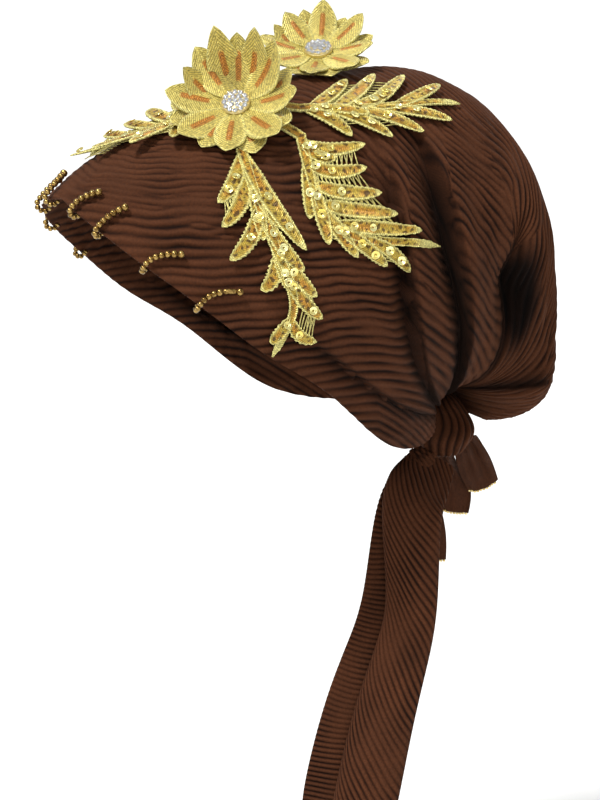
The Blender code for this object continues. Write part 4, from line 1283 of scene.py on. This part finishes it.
def leaf_line(name, place, tip_angle, tip_turn, rows=56):
    """Angle and turn along a leaf: a curve that leaves the stem along the stem's own way and
    then bends to the tip, the quadratic curve of base, control point and tip."""
    a0, t0 = stem_place(name, place)
    a1, t1 = stem_place(name, min(place + 0.10, 1.0))
    share = np.linspace(0, 1, rows)
    ca = a0 + (a1 - a0) * STEM_PULL + (tip_angle - a0) * TIP_PULL
    ct = t0 + (t1 - t0) * STEM_PULL + (tip_turn - t0) * TIP_PULL
    angle = (1 - share) ** 2 * a0 + 2 * share * (1 - share) * ca + share**2 * tip_angle
    turn = (1 - share) ** 2 * t0 + 2 * share * (1 - share) * ct + share**2 * tip_turn
    return angle, turn


# Angle and turn of the root of a stem, out of sight under the flower it grows from.
STEM_ROOTS = {"spray_down_left": (50.2, 0.120), "spray_down_right": (54.0, 0.140),
              "spray_back": (55.4, 0.106), "spray_front": (50.4, 0.072)}
# How far the tips of a spray's leaves stand up from the cloth, in metres.
TIP_RISE = {"spray_front": 0.0055, "spray_back": 0.0015, "spray_down_left": 0.0004,
            "spray_down_right": 0.0004}
STEM_WIDTH = 0.0062
LEAF_STEP = 0.00022     # one leaf of three lies this much higher than the one before
NET_THREAD, NET_LIMIT = 0.00032, 0.015      # radius and greatest length of a net thread
# Places on one leaf and on the next that a net thread ties.
NET_TIES = tuple((low, low + step) for low in range(10, 50, 4) for step in (-3, 3))


def sew_spray(name):
    """Stem, leaves, and net threads from each leaf to the next in the table."""
    parts = Parts()
    share = np.linspace(0, 1, 90)
    angle, turn = stem_place(name, share)
    root = np.linspace(0, 1, 24, endpoint=False)
    angle = np.append(STEM_ROOTS[name][0] * (1 - root) + angle[0] * root, angle)
    turn = np.append(STEM_ROOTS[name][1] * (1 - root) + turn[0] * root, turn)
    outline = np.array(((0.0, 0.9), (0.7, 0.8), (0.96, 0.6), (1.0, 0.1)))
    grid, cord, vein, uv = leaf_tube(angle, turn, STEM_WIDTH, outline, thick=LACE_THICK * 1.25)
    parts.tube(grid, uv, cord=cord, vein=vein)
    lines = []
    for number, (place, tip_angle, tip_turn, width) in enumerate(LEAVES[name]):
        angle, turn = leaf_line(name, place, tip_angle, tip_turn)
        rise = TIP_RISE[name] * np.linspace(0, 1, len(angle)) ** 2
        lift = LACE_LIFT + LEAF_STEP * (number % 3) + rise
        grid, cord, vein, uv = leaf_tube(angle, turn, LEAF_SPREAD * width, LEAF_OUTLINE, lift=lift,
                                         seed=number * 1.3 + len(name))
        parts.tube(grid, uv, cord=cord, vein=vein)
        lines.append((angle, turn))
    for (a0, t0), (a1, t1) in zip(lines[:-1], lines[1:]):
        for low, high in NET_TIES:
            mix = np.linspace(0, 1, 5)
            reach = over_cloth(np.array([a0[low], a1[high]]), np.array([t0[low], t1[high]]), 0.0)
            if np.linalg.norm(reach[0] - reach[1]) > NET_LIMIT:
                continue
            line = over_cloth(a0[low] * (1 - mix) + a1[high] * mix,
                              t0[low] * (1 - mix) + t1[high] * mix,
                              LACE_LIFT + 0.0004 + 0.0003 * np.sin(mix * math.pi))
            grid = thread_tube(line, np.full(5, NET_THREAD), sides=4)
            parts.tube(grid, cord=0.8, vein=0.0)
    parts.make(name + "_lace", LACE_THREAD, "gold_lace", [name])
    return lines


spray_lines = {name: sew_spray(name) for name in STEMS}

# %% [markdown]
# ## Sequins
# The sequins are little cupped discs of gold film with a hole for the thread, and each is tilted a
# little its own way, so that only some flash at once. One disc is a ring swept round a short
# profile. It is repeated along the leaves with a drawn tilt and a size that varies slightly.

# %% Sequins
SEQUIN_RADIUS = 0.0022
SEQUIN_PLACES = (0.22, 0.48, 0.74)      # shares along a leaf
SEQUIN_MISSING = 0.40                   # share of the places that stay empty
SEQUIN_TILT = 0.16
# Ring profile: share of the radius and height in metres of the hole, cup, rim and underside.
SEQUIN_PROFILE = np.array((
    (0.25, 0.00002), (0.55, 0.00006), (0.86, 0.00022), (1.0, 0.00042),
    (0.98, 0.00056), (0.84, 0.00038), (0.52, 0.00022), (0.25, 0.00018)))


def gold_film():
    """Gold film: paler where broad noise is high, dented by fine noise."""
    surface, tree, shader = new_material("sequin_film")
    where = add_node(tree, "TexCoord")
    shade = ramp(tree, noise(tree, where, 160.0), 0.35, (0.90, 0.70, 0.14), 0.62,
                 (1.0, 0.95, 0.45))
    dents = noise(tree, where, 1100.0, 1.0)
    feed(tree, shader, Base_Color=shade, Normal=relief(tree, dents, 0.35, 0.0001),
         Metallic=0.85, Roughness=0.20)
    return surface


SEQUIN_FILM = gold_film()


def frame_at(angle, turn):
    """Two directions in the cloth and one out of it."""
    out = cloth_out(angle, turn)
    side = unit(np.cross(out, np.array([0.0, 0.0, 1.0])))
    return side, np.cross(out, side), out


def sew_sequins():
    """The ring profile turned round each sequin's own tilted axis."""
    draw = np.random.default_rng(8)
    parts = Parts()
    count = 0
    places = [(name, angle, turn, share) for name, lines in spray_lines.items()
              for angle, turn in lines for share in SEQUIN_PLACES]
    for name, angle, turn, share in places:
        if draw.uniform() < SEQUIN_MISSING:
            continue
        row = int(share * (len(angle) - 1) + draw.uniform(-3, 3))
        side, other, out = frame_at(angle[row], turn[row])
        axis = out + side * draw.normal(0, SEQUIN_TILT) + other * draw.normal(0, SEQUIN_TILT)
        axis = unit(axis)
        side = unit(np.cross(axis, other))
        ring = circle(side, np.cross(axis, side), 14)
        size = SEQUIN_RADIUS * draw.uniform(0.88, 1.06)
        rise = TIP_RISE[name] * (row / (len(angle) - 1)) ** 2
        centre = over_cloth(angle[row], turn[row], LACE_LIFT + LACE_THICK + 0.00062 + rise)
        grid = centre + (SEQUIN_PROFILE[:, 0] * size)[:, None, None] * ring
        grid = grid + axis * SEQUIN_PROFILE[:, 1][:, None, None]
        rows, columns = grid.shape[:2]
        parts.add(grid, (grid_faces(rows + 1, columns, ring=True) % (rows * columns)).tolist())
        count += 1
    parts.make("sequins", SEQUIN_FILM, "gold_lace")
    return count


print("sequins:", sew_sequins())

# %% [markdown]
# ## The flowers
# Each flower has two rings of eight broad petals, worked in satin stitch out from an orange vein,
# with a cord round the edge. They are stiff, so they cup away from the cloth, and some stand up. A
# petal is a flattened tube like a leaf's, with its outline in a table. Its height is a cup, which
# grows with the square of the distance from the hub, plus a curl of its own toward the tip. Where
# that would go under the cloth, the petal is lifted to lie on it.

# %% Height over the cloth
def height_over(points, seat, axis):
    """How far points stand over the cloth along axis. Newton's method on the page angle, the
    turn and the height: the foot on the cloth plus the height along the axis is the point."""
    guess = np.empty(points.shape)
    guess[..., 0], guess[..., 1], guess[..., 2] = seat[0], seat[1], 0.0

    def miss(value):
        return over_cloth(value[..., 0], value[..., 1], 0.0) + axis * value[..., 2:3] - points

    for _ in range(9):
        error = miss(guess)
        slopes = []
        for k, step in enumerate((0.2, 0.002, 0.001)):
            moved = guess.copy()
            moved[..., k] += step
            slopes.append((miss(moved) - error) / step)
        change = np.linalg.solve(np.stack(slopes, axis=-1), -error[..., None])[..., 0]
        guess = guess + np.clip(change, (-8, -0.08, -0.05), (8, 0.08, 0.05))
    return guess[..., 2]


# %% Petal tables
# Angle and turn of the seat, axis, height of the hub over the cloth in metres.
FLOWERS = {
    "flower_front": (52.4, 0.080, (0.58, -0.44, 0.69), 0.0066),
    "flower_top": (70.2, -0.050, (0.36, -0.26, 0.90), 0.0115),
}
# Extra rise of the tip, in metres, for each petal in turn: upper ring, then lower ring.
CURLS = {
    "flower_front": ((0, 0, 0, 0.001, 0.003, 0.011, 0.009, 0.003),
                     (0, 0, 0, 0.001, 0.006, 0.015, 0.017, 0.010)),
    "flower_top": ((0.002, 0, 0, 0, 0.001, 0.004, 0.007, 0.005),
                   (0.006, 0, 0, 0, 0.001, 0.004, 0.008, 0.010)),
}
PETALS = 8
HUB_EDGE = 0.0058
PETAL_TIP = 0.0285
PETAL_REACH = {"flower_front": 0.0350, "flower_top": 0.0305}
PETAL_THICK = 0.0012
LOWER_DROP = 0.0040
PETAL_CUP = 0.0060
PETAL_STACK = 0.0006                # every second petal lies this much higher
CLEARANCE = (0.0052, 0.0035)        # least height over the cloth, upper and lower ring
LOWER_SHARE = 0.97                  # length of a lower petal as a share of an upper one
# Disc under a ring of petals: share of its radius, height in metres.
HUB_DISC = np.array(((0.05, 0.0012), (0.6, 0.0013), (1.12, 0.0011), (1.2, 0.0006),
                     (1.1, 0.0001), (0.6, 0.0), (0.05, 0.0)))
PETAL_OUTLINE = np.array(((0.0, 0.0024), (0.14, 0.0044), (0.32, 0.0064), (0.50, 0.0074),
                          (0.64, 0.0071), (0.78, 0.0057), (0.89, 0.0036), (0.96, 0.0018),
                          (1.0, 0.0002)))
# Section of a petal: share across, share of thickness.
HALF_SECTION = np.array(((1.0, 0.35), (0.965, 0.85), (0.90, 1.05), (0.83, 0.75), (0.66, 0.62),
                         (0.40, 0.66), (0.22, 0.74), (0.15, 1.0), (0.07, 1.15)))
PETAL_SECTION = np.concatenate([HALF_SECTION * (-1, 1), HALF_SECTION[::-1],
                                ((0.9, 0.0), (0.3, 0.0), (-0.3, 0.0), (-0.9, 0.0))])
print("petals on each flower:", 2 * PETALS)

# %% [markdown]
# All petals share one outline and one section. Only the length, the curl and a slight ripple
# differ, which is enough for the eye, since each is also seen from another side.

# %% Petal maker
def petal_grid(way, side, axis, centre, length, curl, wave, rows=36):
    """Points at distance r along way, share across times the half width along side, and a
    height of PETAL_CUP times the square of the distance, plus the curl to the power 2.4."""
    s = np.linspace(0, 1, rows) ** 0.9
    r = HUB_EDGE + s * (length - HUB_EDGE)
    half = curve_through(s, *PETAL_OUTLINE.T) * length / PETAL_TIP
    aside = PETAL_SECTION[None, :, 0] * half[:, None]
    over = (r - HUB_EDGE) / (PETAL_TIP - HUB_EDGE)
    rise = PETAL_CUP * over**2 + curl * over**2.4
    pillow = 0.0013 * (1 - PETAL_SECTION[None, :, 0] ** 2) * np.sin(math.pi * s)[:, None]
    ripple = wave * 0.0007 * np.sin(5 * s + 2 * wave)[:, None] * PETAL_SECTION[None, :, 0]
    thick = PETAL_THICK * PETAL_SECTION[None, :, 1] * np.clip(half / 0.004, 0.3, 1)[:, None]
    height = rise[:, None] + pillow + ripple + thick
    grid = centre + way * (r[:, None, None] - 0.35 * curl * over[:, None, None] ** 2)
    grid = grid + side * aside[..., None] + axis * height[..., None]
    across = np.abs(PETAL_SECTION[None, :, 0]) + 0 * aside
    cord = np.maximum(ease((across - 0.80) / 0.08), ease((s[:, None] - 0.95) / 0.02))
    ends = ease((s - 0.22) / 0.05) * ease((0.76 - s) / 0.05)
    vein = ease((0.21 - across) / 0.07) * ends[:, None]
    uv = np.stack([aside, r[:, None] + 0 * aside], axis=-1)
    return grid, cord, vein, uv


print("petal maker ready")

# %% [markdown]
# The lower ring is turned by half a petal, so its tips show between those of the upper ring. A
# disc joins each ring at the hub and carries the button.

# %% Sew the flowers
def sew_layer(name, layer):
    """Eight petals of one ring, lifted wherever they would come too near the cloth, and the disc
    that joins them. Layer 0 is the upper ring and 1 the lower."""
    angle, turn, axis, hub = FLOWERS[name]
    draw = np.random.default_rng(40 + layer + len(name))
    axis = unit(np.array(axis))
    side = unit(np.cross(axis, (0.0, 0.0, 1.0)))
    other = np.cross(axis, side)
    normal = cloth_out(angle, turn)
    centre = over_cloth(angle, turn, 0.0) + axis * (hub - LOWER_DROP * layer)
    parts = Parts()
    for k in range(PETALS):
        spin = 2 * math.pi * (k + 0.5 * layer) / PETALS + draw.normal(0, 0.035)
        way = side * math.cos(spin) + other * math.sin(spin)
        length = PETAL_REACH[name] * (LOWER_SHARE if layer else 1.0) * draw.uniform(0.90, 1.0)
        seat = centre + axis * PETAL_STACK * (k % 2)
        grid, cord, vein, uv = petal_grid(way, np.cross(axis, way), axis, seat, length,
                                          CURLS[name][layer][k], draw.uniform(-1, 1))
        clear = height_over(grid[:, -3:-1].mean(axis=1), (angle, turn), normal)
        grid = grid + normal * np.maximum(CLEARANCE[layer] - clear, 0)[:, None, None]
        parts.tube(grid, uv, cord=cord, vein=vein)
    radius = (HUB_DISC[:, 0] * HUB_EDGE * 1.25)[:, None, None]
    grid = centre + radius * circle(side, other, 28) + axis * HUB_DISC[:, 1][:, None, None]
    uv = radius * circle(np.array((1.0, 0.0)), np.array((0.0, 1.0)), 28)
    parts.tube(grid, uv, cord=0.2, vein=0.0)
    node = f"{name}_{('upper', 'lower')[layer]}"
    parts.make(node + "_petals", PETAL_THREAD, "gold_petal", [node])
    return centre, axis, side, other


hubs = {}
for name in FLOWERS:
    sew_layer(name, 1)
    hubs[name] = sew_layer(name, 0)

# %% [markdown]
# ## The stone buttons
# A button is a low metal dome set with nineteen cut stones, one in the middle and two rings round
# it. Fused to the setting, they are one surface: a height over a round grid. Each stone is a flat
# table with eight facets that slope away from it, and the height is the larger of the dome's and
# the stones'. The grid is fine and flat shaded, so the facets stay crisp.

# %% Stone buttons
BUTTON_RADIUS = 0.0071
BUTTON_RISE = 0.0024
BUTTON_FOOT = 0.0018        # how far the dome stands over the hub
DOME_FALL = 0.55            # share of the rise that the dome has lost at its rim
RIM_REACH, RIM_WIDTH, RIM_RISE = 0.00655, 0.00032, 0.00055
STONE_RADIUS = 0.00135
STONE_RISE, STONE_TABLE, STONE_SLOPE = 0.00095, 0.52, 0.95
# Stones in a ring, distance from the middle in stone radii, turn of the ring in stones.
STONE_RINGS = ((6, 2.02, 0.0), (12, 3.95, 0.25))


def stone_places():
    """Middle, then the rings of stones."""
    spots = [(0.0, 0.0)]
    for count, reach, shift in STONE_RINGS:
        spin = 2 * math.pi * (np.arange(count) + shift) / count
        spots += list(zip(reach * STONE_RADIUS * np.cos(spin), reach * STONE_RADIUS * np.sin(spin)))
    return np.array(spots)


def set_button(name, rows=60, columns=150):
    """Height over a round grid: dome, bead rim and stones, each stone cut by eight planes."""
    centre, axis, side, other = hubs[name]
    spin = 2 * math.pi * np.arange(columns)[None, :] / columns
    radius = BUTTON_RADIUS * np.linspace(0.004, 1, rows)[:, None] ** 0.75
    x, y = radius * np.cos(spin), radius * np.sin(spin)
    dome = BUTTON_RISE * (1 - DOME_FALL * (radius / BUTTON_RADIUS) ** 2) + 0 * spin
    rim = RIM_RISE * np.exp(-((radius - RIM_REACH) / RIM_WIDTH) ** 2)
    height = dome + rim * (0.72 + 0.28 * np.cos(40 * spin))
    stone = np.zeros(height.shape)
    for px, py in stone_places():
        dx, dy = x - px, y - py
        sector = np.round(np.arctan2(dy, dx) / (math.pi / 4)) * (math.pi / 4)
        reach = dx * np.cos(sector) + dy * np.sin(sector)
        base = BUTTON_RISE * (1 - DOME_FALL * (math.hypot(px, py) / BUTTON_RADIUS) ** 2)
        slope = np.maximum(reach - STONE_TABLE * STONE_RADIUS, 0) * STONE_SLOPE
        cut = base + STONE_RISE - slope
        inside = (reach < 0.97 * STONE_RADIUS) & (cut > height)
        height = np.where(inside, cut, height)
        stone = np.where(inside & (np.hypot(dx, dy) < STONE_RADIUS * 1.04), 1.0, stone)
    top = centre + side * x[..., None] + other * y[..., None]
    top = top + axis * (height + BUTTON_FOOT)[..., None]
    skirt = top[-1] - axis * (height[-1] + 0.0004)[:, None]
    grid = np.concatenate([top, skirt[None], (centre + (skirt - centre) * 0.5)[None]])
    piece = Parts()
    piece.tube(grid, stone=np.concatenate([stone, np.zeros((2, columns))]))
    piece.make(name + "_stones", BUTTON_FINISH, "stone", [name + "_button"], smooth=False)


print("stones on a button:", len(stone_places()))

# %% [markdown]
# Cut glass on a silvered back throws light like metal, so metal is close enough, and far quicker
# to render than clear glass. The number `stone` on the mesh says where the glass is.

# %% Button finish
def button_finish():
    """Cut glass with a silvered back on the stones, with painted glints in small cells, worn gilt
    between them.
    """
    surface, tree, shader = new_material("button_stones")
    stone = mesh_number(tree, "stone")
    where = add_node(tree, "TexCoord")
    fire = add_node(tree, "TexVoronoi", Vector=where.outputs["Object"], Scale=900.0)
    glint = ramp(tree, fire.outputs["Distance"], 0.0, (0.98, 0.99, 1.0), 1.0, (0.42, 0.45, 0.50))
    gilt = blend(tree, noise(tree, where, 900.0), (0.55, 0.42, 0.16, 1), (0.85, 0.74, 0.40, 1))
    feed(tree, shader, Base_Color=blend(tree, stone, gilt, glint), Metallic=0.82,
         Roughness=calc(tree, "MULTIPLY_ADD", stone, -0.24, 0.30))
    return surface


BUTTON_FINISH = button_finish()
for name in FLOWERS:
    set_button(name)

# %% [markdown]
# ## Bead strings
# Eight short strings of bronze beads climb the front from inside the open edge, and small gold
# beads border the short tails. A bead is a squashed ball, a half circle turned round the string's
# own direction. The string is a smooth curve through points on the cloth, then round the edge, and
# the beads are set along it by their own widths. One string carries a long tube bead.

# %% Bead tools
def bead_finish(name, dark, bright, roughness):
    """Antique metal: noise from dark in the hollows to bright where it is rubbed."""
    surface, tree, shader = new_material(name)
    patina = noise(tree, add_node(tree, "TexCoord"), 620.0, 3.0)
    feed(tree, shader, Base_Color=ramp(tree, patina, 0.38, dark, 0.60, bright), Metallic=0.9,
         Roughness=calc(tree, "MULTIPLY_ADD", patina, 0.25, roughness),
         Normal=relief(tree, patina, 0.2, 0.0001))
    return surface


BRONZE = bead_finish("picot_bronze", (0.15, 0.085, 0.022), (0.44, 0.29, 0.09), 0.14)
HEM_GOLD = bead_finish("hem_gold", (0.60, 0.42, 0.15), (0.90, 0.74, 0.38), 0.12)
STRING = plain_material("bead_string", (0.06, 0.035, 0.02), 0.8)
WAY_STEP = 0.0003       # metres ahead and behind between which a direction is read


def bead(centre, down, radius, squash=0.88, rows=9, columns=14):
    """A half circle, squashed along the string, turned round it; closed by two small ends."""
    lat = np.linspace(-0.49 * math.pi, 0.49 * math.pi, rows)
    down = down / np.linalg.norm(down)
    aside = unit(np.cross(down, np.array([0.31, 0.52, 0.79])))
    over = np.cross(down, aside)
    ring = circle(aside, over, columns)
    return (centre + down * (np.sin(lat) * radius * squash)[:, None, None]
            + ring[None] * (np.cos(lat) * radius)[:, None, None])


def along_line(points, places):
    """Smooth curve through points, read at distances along it, with its direction there and
    its length."""
    chord = run_along(points)
    fine = np.linspace(0, chord[-1], 400)
    curve = np.stack([curve_through(fine, chord, points[:, k]) for k in range(3)], axis=-1)
    length = run_along(curve)

    def read(shift):
        return np.stack([np.interp(np.asarray(places) + shift, length, curve[:, k])
                         for k in range(3)], axis=-1)

    return read(0.0), unit(read(WAY_STEP) - read(-WAY_STEP)), float(length[-1])


# %% [markdown]
# The string leaves the inside of the open edge, turns round it and climbs the cloth. Every bead is
# placed by the width of the one before it, so they touch as threaded beads do.

# %% Picots
# Turn at the edge, degrees the string climbs, turn it leans.
PICOTS = ((-0.330, 5.2, -0.036), (-0.225, 4.2, -0.034), (-0.125, 4.0, -0.018),
          (-0.045, 3.6, -0.024), (0.066, 3.4, 0.028), (0.138, 4.1, 0.016), (0.237, 4.0, 0.036),
          (0.330, 5.4, 0.038))
BEAD_RADIUS = 0.00172
BEAD_TAPER = (1.12, 0.38)       # size of the first bead, and how much of it is lost by the last
BEAD_PITCH = 1.66               # distance between beads, in radii
STRING_RADIUS = 0.00045
TUBE_BEAD = (7, 1)              # number of the string and of the bead on it that is a long tube
TUBE_LENGTH, TUBE_ROOM, TUBE_RADIUS = 0.0062, 0.0066, 0.00125


def above_edge(climb, turn, lift):
    """A point this many degrees up from the open edge, over the folded cloth."""
    angle = edge_angle(turn) + np.asarray(climb, float)
    turn = np.asarray(turn, float) + 0 * angle
    height = fold_height(angle, turn) + lift
    return smooth_cloth(angle, turn) + cloth_out(angle, turn) * height[..., None]


def string_picot(number, turn, climb, lean):
    """Points up the cloth, round the edge and just inside it, with beads along them."""
    steps = np.array([1.0, 0.80, 0.62, 0.44, 0.28, 0.12])
    outside = above_edge(climb * steps, turn + lean * steps * steps, BEAD_RADIUS + 0.0011)
    edge = above_edge(0.0, turn, 0.0)
    up = unit(above_edge(0.5, turn, 0.0) - edge)
    out = unit(above_edge(0.0, turn, 0.001) - edge)
    hook = BEAD_RADIUS + 0.0008
    turned = [edge + (out * 0.75 - up * 0.65) * hook, edge - up * hook - out * CROWN_WALL / 2,
              edge - out * CROWN_WALL - (out * 0.75 + up * 0.6) * hook,
              edge + up * hook * 0.5 - out * (CROWN_WALL + hook)]
    points = np.concatenate([outside, turned])
    _, _, length = along_line(points, [0.0])
    parts = Parts()
    place = 0.0
    count = 0
    while place < length:
        size = BEAD_RADIUS * (BEAD_TAPER[0] - BEAD_TAPER[1] * place / length)
        is_tube = (number, count) == TUBE_BEAD
        width = TUBE_ROOM if is_tube else BEAD_PITCH * size
        centre, way, _ = along_line(points, [min(place + width / 2, length)])
        if is_tube:
            ends = centre[0] + way[0] * np.linspace(-TUBE_LENGTH / 2, TUBE_LENGTH / 2, 6)[:, None]
            radii = np.array([0.8, 1, 1, 1, 1, 0.8]) * TUBE_RADIUS
            parts.tube(thread_tube(ends, radii, sides=14))
        else:
            parts.tube(bead(centre[0], way[0], size))
        place += width
        count += 1
    line, _, _ = along_line(points, np.linspace(0, length, 40))
    parts.tube(thread_tube(line, np.full(40, STRING_RADIUS), sides=6), pick=1)
    parts.make(f"picot_{number + 1}_beads", [BRONZE, STRING], "bead", [f"picot_{number + 1}"])
    return count


counts = [string_picot(number, *row) for number, row in enumerate(PICOTS)]
print("beads on each picot:", counts)

# %% [markdown]
# The ends of the short tails are bordered with beads half as big. Each border follows the last row
# of its tail, so it goes wherever the cloth goes.

# %% Hem beads
HEM_BEAD = 0.00090
HEM_DROP = 0.0005       # how far the beads hang under the end of the cloth


def bead_hem(name):
    """Small beads a diameter apart along the end of a short tail, just past the cloth."""
    points = HEM_LINES[name][::4] + np.array((0.0, 0.0, -HEM_DROP))
    _, _, length = along_line(points, [0.0])
    places = np.arange(HEM_BEAD, length, 1.9 * HEM_BEAD)
    centres, ways, _ = along_line(points, places)
    parts = Parts()
    for centre, way in zip(centres, ways):
        parts.tube(bead(centre, way, HEM_BEAD, squash=0.9, rows=7, columns=10))
    beads = parts.make(name + "_hem_beads", HEM_GOLD, "hem_bead", [name + "_hem"])
    return len(places)


print("hem beads:", [bead_hem(name) for name in SHORT_TAILS])
print("short tails cut, mm:", {name: [round(1e3 * x, 1) for x in cut[1]]
                               for name, cut in TAIL_CUTS.items()})
